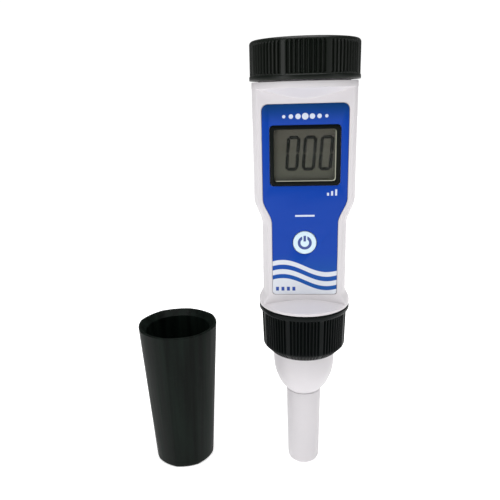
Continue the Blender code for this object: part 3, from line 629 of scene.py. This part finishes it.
collar_profile = ([(COLLAR_MOUTH, COLLAR_BOTTOM), (12.9, COLLAR_BOTTOM), (13.1, COLLAR_BOTTOM + 0.12),
                   (COLLAR_FOOT - 0.2, 52.4), (COLLAR_FOOT - 0.05, 52.6)]
                  + [(collar_wall(height), height) for height in COLLAR_RINGS]
                  + [(COLLAR_RADIUS + 0.12, 66.4), (COLLAR_RIM - 0.15, 67.15), (COLLAR_RIM, 67.4)]
                  + rounded_rim(COLLAR_RIM, COLLAR_TOP, 0.3, 1)[::-1]
                  + [(COLLAR_BORE + 0.3, COLLAR_TOP), (COLLAR_BORE, COLLAR_TOP - 0.3),
                     (COLLAR_BORE, COLLAR_LIP_TOP), (COLLAR_MOUTH, COLLAR_LIP_TOP),
                     (COLLAR_MOUTH, COLLAR_BOTTOM)])
collar_nut = turned("collar_nut_ribbed", collar_profile, RIB_SEGMENTS, hollow=True)
press_grooves(collar_nut, COLLAR_RADIUS, *COLLAR_GROOVES)
smooth_shaded(collar_nut, 40.0)
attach(collar_nut, "collar")
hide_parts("collar_nut")
count_faces(collar_nut)

# %% [markdown]
# ## Electrode
# Under the collar a white bowl narrows to a long tube with an open tip.  The bowl is a
# smooth curve, so its few known points are joined by a rounded path before turning.
# The tube is a separate moulding that plugs into the bowl.

# %% Electrode: the bowl and its rod holes
def rounded_path(points, steps=4):
    """A smooth path through (radius, height) points."""
    path = []
    ends = [points[0]] + points + [points[-1]]
    for before, start, end, after in zip(ends, ends[1:], ends[2:], ends[3:]):
        for step in range(steps):
            share = step / steps
            path.append(tuple(
                0.5 * (2 * b + (c - a) * share + (2 * a - 5 * b + 4 * c - d) * share ** 2
                       + (3 * b - a - 3 * c + d) * share ** 3)
                for a, b, c, d in zip(before, start, end, after)))
    return path + [points[-1]]


SEAT_HIGH = 55.6
SEAT_LOW = 53.3
SHOULDER_RADIUS = 11.75
BOWL = [(SHOULDER_RADIUS, 47.0), (11.55, 43.0), (10.85, 39.6), (9.35, 36.0), (8.1, 34.2), (7.1, 33.3)]
SOCKET_RADIUS = 5.9
SOCKET_TOP = 39.0
BOWL_BOTTOM = 32.6
STEM_RADIUS = 10.4
STEM_TOP = 70.4
SEAT_RADIUS = 13.9
bowl_profile = ([(STEM_RADIUS, STEM_TOP), (STEM_RADIUS, SEAT_HIGH), (SEAT_RADIUS, SEAT_HIGH),
                 (SEAT_RADIUS, SEAT_LOW),
                 (SHOULDER_RADIUS, SEAT_LOW)] + rounded_path(BOWL)
                + [(7.0, 33.1), (7.0, BOWL_BOTTOM + 0.15), (6.85, BOWL_BOTTOM), (SOCKET_RADIUS, BOWL_BOTTOM),
                   (SOCKET_RADIUS, SOCKET_TOP)])
electrode_body = turned("electrode_bowl", bowl_profile, 128)
ROD_PLACES = ((-2.1, -0.6), (2.1, -0.6), (0.0, 1.9))
ROD_HOLE = [(1.0, 38.0), (1.0, 72.0)]
for place in ROD_PLACES:
    apply_boolean(electrode_body, turned("rod_hole", ROD_HOLE, 24, place))
smooth_shaded(electrode_body, 30.0)
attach(electrode_body, "electrode")
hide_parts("electrode_body")
count_faces(electrode_body)

# %% Electrode: the probe tube
TUBE_TOP_RADIUS = 6.75
TUBE_TIP_RADIUS = 6.2
TUBE_BORE = 4.3
TUBE_SHOULDER = 32.3
PLUG_TOP = 38.7
PLUG_RADIUS = SOCKET_RADIUS - 0.3
tube_profile = [(TUBE_BORE, PLUG_TOP), (PLUG_RADIUS, PLUG_TOP), (PLUG_RADIUS, TUBE_SHOULDER),
                (TUBE_TOP_RADIUS - 0.15, TUBE_SHOULDER), (TUBE_TOP_RADIUS, TUBE_SHOULDER - 0.15),
                (TUBE_TIP_RADIUS, 1.9),
                (TUBE_TIP_RADIUS - 0.12, 1.25), (TUBE_TIP_RADIUS - 0.42, 0.62),
                (TUBE_TIP_RADIUS - 0.85, 0.17), (TUBE_TIP_RADIUS - 1.25, 0.0),
                (TUBE_BORE + 0.15, 0.0), (TUBE_BORE, 0.15), (TUBE_BORE, PLUG_TOP)]
probe_tube = turned("probe_tube_open", tube_profile, 128, hollow=True)
smooth_shaded(probe_tube, 30.0)
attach(probe_tube, "electrode")
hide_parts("probe_tube")
count_faces(probe_tube)

# %% [markdown]
# ## Protective cap
# The black cap stands mouth up beside the tester.  It tapers to its base and has eight
# barely flattened sides, with a broad sloped ring round a dark bore at the mouth.  The
# round shape is turned first.  The flats come from drawing the points of the outer wall
# in between eight corner lines, which leaves a faint crease on each line.

# %% Protective cap
SLEEVE_PLACE = (-49.9, 1.5)
SLEEVE_HEIGHT = 58.8
SLEEVE_BASE = 12.1
SLEEVE_MOUTH = 15.7
SLEEVE_SIDES = 8
SLEEVE_FLATNESS = 0.02
SLEEVE_CORNER = math.radians(36.0)
SLEEVE_WALL_LOW = 1.4
SLEEVE_BORE = 12.6
SLEEVE_FLOOR = (8.7, 2.4)


def sleeve_radius(height):
    rise = (height - SLEEVE_WALL_LOW) / (SLEEVE_HEIGHT - 0.3 - SLEEVE_WALL_LOW)
    return SLEEVE_BASE + (SLEEVE_MOUTH - SLEEVE_BASE) * rise


sleeve_profile = ([SLEEVE_FLOOR, (SLEEVE_FLOOR[0] + 1.0, SLEEVE_FLOOR[1] + 1.0),
                   (SLEEVE_BORE, SLEEVE_HEIGHT - 2.2), (SLEEVE_BORE + 0.2, SLEEVE_HEIGHT - 2.0),
                   (14.65, SLEEVE_HEIGHT - 0.12), (14.85, SLEEVE_HEIGHT)]
                  + [(SLEEVE_MOUTH - 0.3, SLEEVE_HEIGHT), (SLEEVE_MOUTH - 0.09, SLEEVE_HEIGHT - 0.09),
                     (SLEEVE_MOUTH, SLEEVE_HEIGHT - 0.3)]
                  + [(sleeve_radius(height), height) for height in (45.0, 30.0, 15.0, 1.6)]
                  + [(SLEEVE_BASE - 0.04, 1.1), (SLEEVE_BASE - 0.25, 0.5), (SLEEVE_BASE - 0.6, 0.15),
                     (SLEEVE_BASE - 1.1, 0.0)])
sleeve = turned("protective_cap", sleeve_profile, 192, SLEEVE_PLACE)


def draw_in_sides(piece):
    """Pull the outer wall in between the corner lines."""
    side = 2 * math.pi / SLEEVE_SIDES
    for point in piece.data.vertices:
        x = point.co.x - SLEEVE_PLACE[0] * MM
        y = point.co.y - SLEEVE_PLACE[1] * MM
        height = (point.co.z - TIP_Z) / MM
        if math.hypot(x, y) < (sleeve_radius(height) - 1.3) * MM or height < 0.05:
            continue
        across = ((math.atan2(y, x) - SLEEVE_CORNER) / side) % 1.0 * 2.0 - 1.0
        share = 1.0 - SLEEVE_FLATNESS * (1.0 - across ** 2)
        point.co.x = SLEEVE_PLACE[0] * MM + x * share
        point.co.y = SLEEVE_PLACE[1] * MM + y * share


draw_in_sides(sleeve)
smooth_shaded(sleeve, 5.0)
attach(sleeve, "sleeve")
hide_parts("probe_cap")
count_faces(sleeve)

# %% [markdown]
# ## Faceplate label
# A blue printed film lies in the recess.  It has its own outline, an opening for the
# display frame and a round hole for the button, and a hair of bevel at its rim.  The
# waves and the small ornaments are printed, so they belong to its colour, not its shape.

# %% Faceplate label
face_label = label_shape("faceplate", 0.0, LABEL_BACK, LABEL_FRONT)
apply_boolean(face_label, rounded_block("label_window", BEZEL_HALF[0] + 0.2, BEZEL_HALF[1] + 0.2,
                                        CUT_FRONT, CUT_BACK, DISPLAY_HEIGHT, BEZEL_CORNER))
apply_boolean(face_label, pin_along_y("label_hole", BUTTON_RADIUS + 0.2, CUT_FRONT, CUT_BACK,
                                      0.0, BUTTON_HEIGHT))
soften_edges(face_label, 0.06)
smooth_shaded(face_label, 30.0)
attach(face_label, "handle")
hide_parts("face_label")
count_faces(face_label)

# %% [markdown]
# ## Display
# A black frame holds a clear window, and the liquid crystal panel sits just behind it.
# The frame is one rounded block cut by a smaller one.  Its rim is rounded generously,
# because that rim catches the light.

# %% Display frame and window
bezel = rounded_block("display_frame", *BEZEL_HALF, -FACE_Y, -FACE_Y + 1.5, DISPLAY_HEIGHT, BEZEL_CORNER)
apply_boolean(bezel, rounded_block("glass_cutter", *GLASS_HALF, CUT_FRONT, CUT_BACK, DISPLAY_HEIGHT, 1.0))
soften_edges(bezel, 0.22, 3)
smooth_shaded(bezel, 30.0)
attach(bezel, "handle")
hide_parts("display_bezel")
count_faces(bezel)

window = rounded_block("display_glass_window", GLASS_HALF[0] - 0.2, GLASS_HALF[1] - 0.2,
                       -FACE_Y + 0.5, -FACE_Y + 1.5, DISPLAY_HEIGHT, 0.8)
soften_edges(window, 0.12, 2)
smooth_shaded(window, 30.0)
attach(window, "handle")
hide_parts("display_window")
count_faces(window)

# %% [markdown]
# The window's cut edge is polished; the thin bright strip along its right and lower
# sides is a painted highlight, the glint where light catches that edge.  A block cut by a
# slightly larger one, which is moved up and to the left by a hair, leaves just that thin angle.

# %% Painted glint along the window's edge
EDGE_HALF = (GLASS_HALF[0] - 0.12, GLASS_HALF[1] - 0.1)
EDGE_SHIFT = 0.34
EDGE_FRONT = -FACE_Y + 0.34
EDGE_BACK = -FACE_Y + 0.48
# This strip is a painted highlight: its bright colour stands for the glint of light on the window's edge.
painted_glint_edge = rounded_block("window_polished_edge", *EDGE_HALF, EDGE_FRONT, EDGE_BACK, DISPLAY_HEIGHT, 1.0)
apply_boolean(painted_glint_edge, rounded_block("edge_cutter", EDGE_HALF[0] + 0.05, EDGE_HALF[1] + 0.05,
                                           CUT_FRONT, CUT_BACK, DISPLAY_HEIGHT + EDGE_SHIFT, 1.0,
                                           centre_x=-EDGE_SHIFT))
smooth_shaded(painted_glint_edge, 30.0)
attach(painted_glint_edge, "handle")
count_faces(painted_glint_edge)

# %% [markdown]
# The display shows three slanted zeros made of bars.  One bar is a hexagon pulled long:
# a six-sided circle whose upper and lower halves are moved apart.  A zero is six such
# bars, and all the bars are joined into one thin piece in front of the panel.

# %% Display digits
DIGIT_BOTTOM = 119.5
DIGIT_TOP = 131.5
DIGIT_GAP_HEIGHT = 125.5
DIGIT_LEFTS = (-6.95, -1.2, 4.55)
DIGIT_WIDTH = 4.65
DIGIT_STROKE = 1.15
DIGIT_LEAN = 0.075
DIGIT_PLANE = -FACE_Y + 1.72
DIGIT_THICKNESS = 0.06
DIGIT_HAIRLINE = 0.1


def digit_bar(x, height, length, upright):
    """One bar of a digit: a stretched hexagon, given a little thickness."""
    deselect_all()
    corner_radius = DIGIT_STROKE / math.sqrt(3)
    bpy.ops.mesh.primitive_circle_add(vertices=6, radius=corner_radius * MM,
                                      fill_type="NGON", rotation=(math.pi / 2, 0.0, 0.0))
    bar = settle(bpy.context.object, "bar")
    for sign in (-1, 1):
        select_points(bar, lambda place: sign * place.z > WELD)
        bpy.ops.transform.translate(value=(0.0, 0.0, sign * (length / 2 - corner_radius) * MM))
    bpy.ops.mesh.select_all(action="SELECT")
    bpy.ops.mesh.extrude_region_move(TRANSFORM_OT_translate={"value": (0.0, DIGIT_THICKNESS * MM, 0.0)})
    bpy.ops.object.mode_set(mode="OBJECT")
    closed_outwards(bar)
    bar.rotation_euler.y = math.atan(DIGIT_LEAN) if upright else math.pi / 2
    bar.location = ((x + (height - DIGIT_BOTTOM) * DIGIT_LEAN) * MM, DIGIT_PLANE * MM, level(height))
    return settle(bar, "bar")


def zero_bars(left):
    """The six bars of one zero, with hairline gaps between them."""
    inset = DIGIT_STROKE / 2
    low, high = DIGIT_BOTTOM + inset, DIGIT_TOP - inset
    across = DIGIT_WIDTH - DIGIT_STROKE - DIGIT_HAIRLINE
    centre = left + DIGIT_WIDTH / 2
    bars = [digit_bar(centre, height, across, False) for height in (low, high)]
    for x in (left + inset, left + DIGIT_WIDTH - inset):
        for start, end in ((low, DIGIT_GAP_HEIGHT), (DIGIT_GAP_HEIGHT, high)):
            bars.append(digit_bar(x, (start + end) / 2, end - start - DIGIT_HAIRLINE, True))
    return bars


all_bars = [bar for left in DIGIT_LEFTS for bar in zero_bars(left)]
choose(all_bars[0])
for bar in all_bars:
    bar.select_set(True)
bpy.ops.object.join()
digits = settle(bpy.context.object, "display_digits")
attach(digits, "handle")
count_faces(digits)

# %% [markdown]
# ## Power button
# The button is a low white disc with a softly rounded rim.  The power symbol on it is
# printed, so it is painted in its finish further down.

# %% Power button
BUTTON_FRONT = -(FACE_Y + 0.2)
BUTTON_BACK = -(FACE_Y - 2.2)
power_button = pin_along_y("power_button_disc", BUTTON_RADIUS, BUTTON_FRONT, BUTTON_BACK,
                           0.0, BUTTON_HEIGHT, 96)
soften_edges(power_button, 0.3, 4)
smooth_shaded(power_button, 30.0)
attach(power_button, "button")
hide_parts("power_button")
count_faces(power_button)

# %% [markdown]
# ## Finishes: the tools
# Every finish is a small network of nodes.  Written out node by node it would be hard to
# read, so a number that varies over a surface is wrapped in a class of its own, and
# ordinary arithmetic on it adds the Math nodes.  All other nodes come from one method.

# %% Tools: signals and finishes
class Signal:
    """A number or colour that varies over a surface; arithmetic adds Math nodes."""

    def __init__(self, finish, socket):
        self.finish = finish
        self.socket = socket

    def math(self, operation, first, *others):
        inputs = dict(enumerate((first, *others)))
        return self.finish.add("ShaderNodeMath", {"operation": operation}, inputs)

    def __add__(self, other):
        return self.math("ADD", self, other)

    def __radd__(self, other):
        return self.math("ADD", other, self)

    def __sub__(self, other):
        return self.math("SUBTRACT", self, other)

    def __rsub__(self, other):
        return self.math("SUBTRACT", other, self)

    def __mul__(self, other):
        return self.math("MULTIPLY", self, other)

    def __rmul__(self, other):
        return self.math("MULTIPLY", other, self)

    def __truediv__(self, other):
        return self.math("DIVIDE", self, other)

    def __abs__(self):
        return self.math("ABSOLUTE", self)

    def wave(self):
        return self.math("COSINE", self)

    def root(self):
        return self.math("SQRT", self)

    def least(self, other):
        return self.math("MINIMUM", self, other)

    def most(self, other):
        return self.math("MAXIMUM", self, other)

    def limited(self):
        return self.least(1.0).most(0.0)

    def above(self, edge, softness):
        """1 where the number is above the edge, 0 below it, with a soft step between."""
        return ((self - edge) / softness + 0.5).limited()


class Finish:
    """A material whose every node comes from add()."""

    def __init__(self, name, **constants):
        self.material = bpy.data.materials.new(name)
        self.material.use_nodes = True
        self.nodes = self.material.node_tree.nodes
        self.links = self.material.node_tree.links
        self.shader = self.nodes["Principled BSDF"]
        self.surface(**constants)

    def add(self, kind, settings, inputs, output=0):
        """A node with its settings set first, then its sockets' values or links."""
        node = self.nodes.new(kind)
        for name, value in settings.items():
            setattr(node, name, value)
        self.feed(node, inputs)
        return Signal(self, node.outputs[output])

    def feed(self, node, inputs):
        for name, value in inputs.items():
            if isinstance(value, Signal):
                self.links.new(value.socket, node.inputs[name])
            else:
                node.inputs[name].default_value = value

    def surface(self, **inputs):
        """Feed the shader's sockets, named with underscores for spaces."""
        self.feed(self.shader, {name.replace("_", " "): value for name, value in inputs.items()})
        return self

    def place(self):
        return self.add("ShaderNodeTexCoord", {}, {}, "Object")

    def axis(self, name):
        """One coordinate on the piece, in millimetres."""
        return self.add("ShaderNodeSeparateXYZ", {}, {0: self.place()}, name) * (1 / MM)

    def height(self):
        """Height above the probe's tip, in millimetres."""
        return self.axis("Z") - TIP_Z / MM

    def noise(self, size, detail=2.0, roughness=0.5):
        """Soft noise whose blobs are about this many millimetres across."""
        return self.add("ShaderNodeTexNoise", {},
                        {"Vector": self.place(), "Scale": 1 / (size * MM), "Detail": detail,
                         "Roughness": roughness})

    def blend(self, share, first, second):
        """A colour between two colours."""
        return self.add("ShaderNodeMix", {"data_type": "RGBA"}, {0: share, 6: first, 7: second}, 2)

    def bump(self, height, depth, strength=1.0):
        """A normal from heights of this depth in millimetres."""
        return self.add("ShaderNodeBump", {}, {"Height": height, "Distance": depth * MM,
                                               "Strength": strength})


def linear(value):
    """One colour channel from 0 to 255 as a shader takes it."""
    value /= 255
    return value / 12.92 if value <= 0.04045 else ((value + 0.055) / 1.055) ** 2.4


def paint(red, green, blue):
    return (linear(red), linear(green), linear(blue), 1.0)


print("a mid grey of 128 is", round(linear(128), 3), "in the shader")

# %% [markdown]
# ## Finishes: plastics
# The white is a satin moulding plastic with a faint mottle and a very fine grain.  The
# battery cap's black is the same kind of plastic and shines most, since a plain black
# hides the shape of the ribs.  The collar and the display frame have a quieter black.
# The protective cap is matt, with faint upright streaks and a little dust.

# %% White and black plastic
def plastic(name, colour, second, roughness, grain, grain_depth, level_of_shine):
    """Moulded plastic: a soft mottle between two colours over a fine grain."""
    finish = Finish(name, Specular_IOR_Level=level_of_shine)
    mottle = finish.noise(9.0, 3.0)
    fine = finish.noise(grain, 2.0)
    finish.surface(Base_Color=finish.blend(mottle, colour, second),
                   Roughness=mottle * 0.12 + (roughness - 0.06),
                   Normal=finish.bump(fine, grain_depth))
    return finish.material


white_plastic = plastic("white_plastic", paint(213, 209, 212), paint(207, 204, 207), 0.42, 0.25, 0.006, 0.4)
black_plastic = plastic("black_plastic", paint(10, 17, 11), paint(7, 12, 7), 0.36, 0.3, 0.012, 0.24)
quiet_black = plastic("quiet_black", paint(6, 12, 11), paint(4, 8, 8), 0.42, 0.3, 0.012, 0.1)

sleeve_finish = Finish("sleeve_black", Specular_IOR_Level=0.08)
drawn_out = sleeve_finish.add("ShaderNodeMapping", {},
                              {"Vector": sleeve_finish.place(), "Scale": (1.0, 1.0, 0.02)})
streaks = sleeve_finish.add("ShaderNodeTexNoise", {}, {"Vector": drawn_out, "Scale": 420.0, "Detail": 2.0})
dust = sleeve_finish.noise(1.2, 3.0)
streaks = streaks.above(0.5, 0.35)
dusty = sleeve_finish.blend(streaks, paint(3, 7, 4), paint(17, 26, 21))
sleeve_finish.surface(Base_Color=sleeve_finish.blend(dust * 0.3, dusty, paint(9, 15, 15)),
                      Roughness=streaks * 0.15 + 0.42,
                      Normal=sleeve_finish.bump(streaks + dust * 0.1, 0.05))
print("made", white_plastic.name, black_plastic.name, quiet_black.name, sleeve_finish.material.name)

# %% [markdown]
# ## Finishes: the printed label
# The label is blue film with white waves at its foot.  All the waves have the same
# crest line, so the distance below that line decides between blue and white.  The
# places where such a plate carries words hold plain ornaments instead: a row of dots,
# three rising bars, one short bar and four small upright blocks.  The blue is darkened
# at the top by painted shade under the battery cap, and is a little greener at the foot.

# %% Printed label
WAVE_LEVEL = 85.2
WAVE_SWING = 2.35
WAVE_CREST_X = -8.0
WAVE_HALF_LENGTH = 16.0
WAVE_BANDS = (0.0, 1.75, 3.5, 5.35, 6.95)
PRINT_EDGE = 0.1
DOT_ROW_HEIGHT = 138.0
SHORT_BAR_HEIGHT = 103.8
RISING_BARS_FOOT = 110.9
FOOT_BLOCKS_HEIGHT = 76.5


def round_dot(finish, x, height, radius):
    """1 inside a printed dot."""
    across = finish.axis("X") - x
    up = finish.height() - height
    return 1 - (across * across + up * up).root().above(radius, PRINT_EDGE)


def flat_bar(finish, x, height, half_width, half_height):
    """1 inside a printed bar."""
    across = 1 - abs(finish.axis("X") - x).above(half_width, PRINT_EDGE)
    up = 1 - abs(finish.height() - height).above(half_height, PRINT_EDGE)
    return across * up


def wave_bands(finish):
    """1 on the white bands at the label's foot."""
    crest = ((finish.axis("X") - WAVE_CREST_X) * (math.pi / WAVE_HALF_LENGTH)).wave() * WAVE_SWING
    below = crest + WAVE_LEVEL - finish.height()
    white = below.above(WAVE_BANDS[0], PRINT_EDGE)
    for number, edge in enumerate(WAVE_BANDS[1:]):
        band = below.above(edge, PRINT_EDGE)
        white = white + band if number % 2 else white - band
    return white


label = Finish("printed_film", Specular_IOR_Level=0.16)
ornament = flat_bar(label, 0.0, SHORT_BAR_HEIGHT, 3.4, 0.32)
for x, size in ((-7.2, 0.55), (-4.8, 0.75), (-2.4, 0.9), (0.0, 1.1), (2.4, 0.9), (4.8, 0.75), (7.2, 0.55)):
    ornament = ornament.most(round_dot(label, x, DOT_ROW_HEIGHT, size))
for x, size in ((8.0, 0.5), (9.4, 0.8), (10.8, 1.1)):
    ornament = ornament.most(flat_bar(label, x, RISING_BARS_FOOT + size, 0.35, size))
tint = label.noise(14.0, 2.0)
# Painted shade: the blue is darkened at the top, where the battery cap overhangs the label.
painted_shade_at_top = label.height().above(139.0, 6.0)
blue = label.blend(tint, paint(4, 58, 158), paint(8, 64, 164))
blue = label.blend(painted_shade_at_top, blue, paint(8, 58, 112))
lower_shade = 1 - label.height().above(84.0, 12.0)
blue = label.blend(lower_shade, blue, paint(8, 78, 156))
printed = label.blend(ornament, blue, paint(206, 214, 230))
foot_marks = flat_bar(label, -9.9, FOOT_BLOCKS_HEIGHT, 0.55, 0.75)
for x in (-7.9, -5.9, -3.9):
    foot_marks = foot_marks.most(flat_bar(label, x, FOOT_BLOCKS_HEIGHT, 0.55, 0.75))
printed = label.blend(wave_bands(label), printed, paint(212, 216, 224))
printed = label.blend(foot_marks, printed, paint(48, 78, 160))
label.surface(Base_Color=printed, Roughness=tint * 0.1 + 0.33,
              Normal=label.bump(label.noise(0.4, 2.0), 0.004))
print("the label's network has", len(label.nodes), "nodes")

# %% Power symbol on the button
button_finish = Finish("button_print", Specular_IOR_Level=0.4)
across = button_finish.axis("X")
up = button_finish.height() - BUTTON_HEIGHT
from_middle = (across * across + up * up).root()
ring = from_middle.above(1.5, PRINT_EDGE) - from_middle.above(2.5, PRINT_EDGE)
slot_at_top = (1 - abs(across).above(0.9, PRINT_EDGE)) * up.above(0.0, PRINT_EDGE)
stem = (1 - abs(across).above(0.45, PRINT_EDGE)) * up.above(0.5, PRINT_EDGE)
stem = stem * (1 - up.above(2.6, PRINT_EDGE))
symbol = (ring * (1 - slot_at_top)).most(stem)
shell = button_finish.blend(button_finish.noise(3.0), paint(208, 228, 238), paint(202, 223, 236))
button_finish.surface(Base_Color=button_finish.blend(symbol, shell, paint(52, 72, 140)), Roughness=0.4,
                      Normal=button_finish.bump(button_finish.noise(0.3), 0.005))
print("the button's network has", len(button_finish.nodes), "nodes")

# %% [markdown]
# ## Finishes: display
# The panel of a liquid crystal display is a grey-green mirror film behind glass, painted
# lighter towards its top as painted light from above.  Its bars are a flat dark grey.  The window in front
# is clear plastic, and low alpha lets the panel show through without slow refraction.

# %% Display finishes
panel = Finish("display_film", Specular_IOR_Level=0.3, Roughness=0.5)
sparkle = panel.noise(0.15, 1.0)
# Painted light: the film is made lighter towards its top, as where light from above falls on it.
painted_top_light = panel.height().above(DISPLAY_HEIGHT, 22.0)
film = panel.blend(painted_top_light, paint(79, 81, 66), paint(88, 84, 73))
film = panel.blend(sparkle * 0.25, film, paint(68, 68, 58))
panel.surface(Base_Color=film, Normal=panel.bump(sparkle, 0.004))

ink = Finish("display_ink", Specular_IOR_Level=0.02)
ink_mottle = ink.noise(0.5, 1.0)
ink.surface(Base_Color=ink.blend(ink_mottle, paint(4, 8, 3), paint(8, 11, 6)),
            Roughness=ink_mottle * 0.1 + 0.5)

glass = Finish("window_clear", Alpha=0.1, Specular_IOR_Level=0.4)
smear = glass.noise(6.0, 3.0)
glass.surface(Base_Color=glass.blend(smear, paint(70, 74, 72), paint(84, 86, 82)),
              Roughness=smear * 0.06 + 0.04)
# Painted highlight: the bright colour of the strip at the window's edge stands for a glint of light.
painted_glint_finish = Finish("painted_glint_edge", Specular_IOR_Level=0.6, Roughness=0.2)
painted_glint_finish.surface(Base_Color=painted_glint_finish.blend(painted_glint_finish.noise(5.0), paint(178, 180, 160),
                                               paint(150, 152, 132)))
print("made", panel.material.name, ink.material.name, glass.material.name)

# %% [markdown]
# ## Finishes: the inner pieces
# The inner pieces show when the tester is opened.  Rubber is matt and speckled, steel is
# brushed, the board is green lacquer over faint copper tracks, and the chips, the blue
# trimmer and the black mouldings are plastics of their own.

# %% Inner finishes
rubber = Finish("seal_rubber", Specular_IOR_Level=0.2)
speck = rubber.noise(0.4, 3.0)
rubber.surface(Base_Color=rubber.blend(speck, paint(26, 26, 27), paint(44, 44, 44)),
               Roughness=speck * 0.15 + 0.7, Normal=rubber.bump(speck, 0.02))

steel = Finish("plated_steel", Metallic=1.0)
brushed = steel.add("ShaderNodeTexNoise", {},
                    {"Vector": steel.add("ShaderNodeMapping", {},
                                         {"Vector": steel.place(), "Scale": (1.0, 1.0, 12.0)}),
                     "Scale": 2500.0, "Detail": 3.0})
steel.surface(Base_Color=steel.blend(brushed, paint(196, 196, 192), paint(216, 216, 212)),
              Roughness=brushed * 0.1 + 0.22, Normal=steel.bump(brushed, 0.002))

board = Finish("board_lacquer", Specular_IOR_Level=0.5)
tracks = board.add("ShaderNodeTexBrick", {"offset": 0.37, "squash": 0.6},
                   {"Vector": board.add("ShaderNodeMapping", {},
                                        {"Vector": board.place(), "Rotation": (math.pi / 2, 0.0, 0.0)}),
                    "Scale": 320.0, "Mortar Size": 0.05, "Color1": (0, 0, 0, 1), "Color2": (0, 0, 0, 1),
                    "Mortar": (1, 1, 1, 1)})
board.surface(Base_Color=board.blend(tracks, paint(22, 78, 44), paint(52, 118, 60)),
              Roughness=board.noise(2.0) * 0.1 + 0.3, Normal=board.bump(tracks, 0.03))

chip_black = plastic("chip_black", paint(28, 28, 30), paint(36, 36, 38), 0.5, 0.2, 0.01, 0.3)
trimmer_blue = plastic("trimmer_blue", paint(32, 74, 160), paint(40, 84, 172), 0.35, 0.4, 0.005, 0.5)
print("made the inner finishes")

# %% Give every piece its finish
def dress(material, *pieces):
    for piece in pieces:
        piece.data.materials.clear()
        piece.data.materials.append(material)


dress(white_plastic, housing, electrode_body, probe_tube, nodes["display_holder"], nodes["battery_holder"])
dress(black_plastic, battery_cap, nodes["electrode_insert"], nodes["electrode_socket"])
dress(quiet_black, collar_nut, bezel)
dress(sleeve_finish.material, sleeve)
dress(label.material, face_label)
dress(button_finish.material, power_button)
dress(panel.material, nodes["display_panel"])
dress(ink.material, digits)
dress(glass.material, window)
dress(painted_glint_finish.material, painted_glint_edge)
dress(rubber.material, nodes["cap_gasket"], nodes["electrode_gasket"], nodes["contact_strip_upper"],
      nodes["contact_strip_lower"])
dress(steel.material, *[nodes[name] for name in nodes
                        if name.startswith(("cell_", "contact_spring", "contact_strap", "board_screw",
                                            "sensing_rod", "temperature_pin", "trimmer_rotor"))])
dress(board.material, nodes["circuit_board"])
dress(chip_black, nodes["processor_chip"], nodes["amplifier_chip"], nodes["switch_body"],
      nodes["switch_plunger"])
dress(trimmer_blue, nodes["trimmer_body"])
undressed = [name for name, node in nodes.items()
             if not node.hide_render and not (node.active_material and node.active_material.use_nodes)]
print("CAD pieces still without a finish:", undressed)

# %% [markdown]
# ## Studio
# The floor is a plain pale sheet that glows faintly, and more so far away, where the
# lights no longer reach it.  The strongest light is a wide one overhead.  A tall one from
# the front left models the round shapes, a weaker one fills from the right, and a pale
# surround keeps the shadows soft.

# %% Floor
def even_grey(value):
    return (value, value, value, 1.0)


FLOOR_SIZE = 6.0
FLOOR_FADE = 800.0
FLOOR_GLOW_NEAR = 0.58
FLOOR_GLOW_FAR = 1.05
deselect_all()
bpy.ops.mesh.primitive_plane_add(size=FLOOR_SIZE, location=(0.0, 0.0, TIP_Z))
floor = settle(bpy.context.object, "studio_floor")
floor_finish = Finish("studio_floor", Roughness=0.9, Specular_IOR_Level=0.0)
floor_x, floor_y = floor_finish.axis("X"), floor_finish.axis("Y")
far_away = ((floor_x * floor_x + floor_y * floor_y).root() / FLOOR_FADE).limited()
floor_finish.surface(Base_Color=floor_finish.blend(floor_finish.noise(60.0), even_grey(0.9),
                                                   even_grey(0.92)),
                     Emission_Color=floor_finish.blend(far_away, even_grey(FLOOR_GLOW_NEAR),
                                                       even_grey(FLOOR_GLOW_FAR)),
                     Emission_Strength=1.0)
dress(floor_finish.material, floor)

# %% Surround and lights
world = bpy.data.worlds.new("pale_surround")
world.use_nodes = True
world_nodes = world.node_tree.nodes
background = world_nodes["Background"]
SURROUND_GLOW = 0.15
BACKDROP_GLOW = 1.05
light_path = world_nodes.new("ShaderNodeLightPath")
backdrop = world_nodes.new("ShaderNodeBackground")
for shader, strength in ((background, SURROUND_GLOW), (backdrop, BACKDROP_GLOW)):
    shader.inputs["Color"].default_value = even_grey(1.0)
    shader.inputs["Strength"].default_value = strength
either = world_nodes.new("ShaderNodeMixShader")
world.node_tree.links.new(light_path.outputs["Is Camera Ray"], either.inputs[0])
world.node_tree.links.new(background.outputs[0], either.inputs[1])
world.node_tree.links.new(backdrop.outputs[0], either.inputs[2])
world.node_tree.links.new(either.outputs[0], world_nodes["World Output"].inputs["Surface"])
scene.world = world
scene.view_settings.view_transform = "Standard"


def softbox(name, place, width, height, power):
    """A flat area light that faces the tester."""
    lamp = bpy.data.lights.new(name, "AREA")
    lamp.shape = "RECTANGLE"
    lamp.size = width
    lamp.size_y = height
    lamp.energy = power
    light = bpy.data.objects.new(name, lamp)
    scene.collection.objects.link(light)
    light.location = place
    light.rotation_euler = Vector(place).to_track_quat("Z", "Y").to_euler()
    print(name, "gives", power, "W")
    return light


softbox("key_softbox", (-0.65, -0.66, 0.2), 0.25, 0.7, 2.0)
softbox("fill_softbox", (0.75, -0.35, 0.15), 0.3, 0.7, 0.75)
softbox("top_softbox", (0.0, -0.1, 0.9), 0.8, 0.8, 9.5)
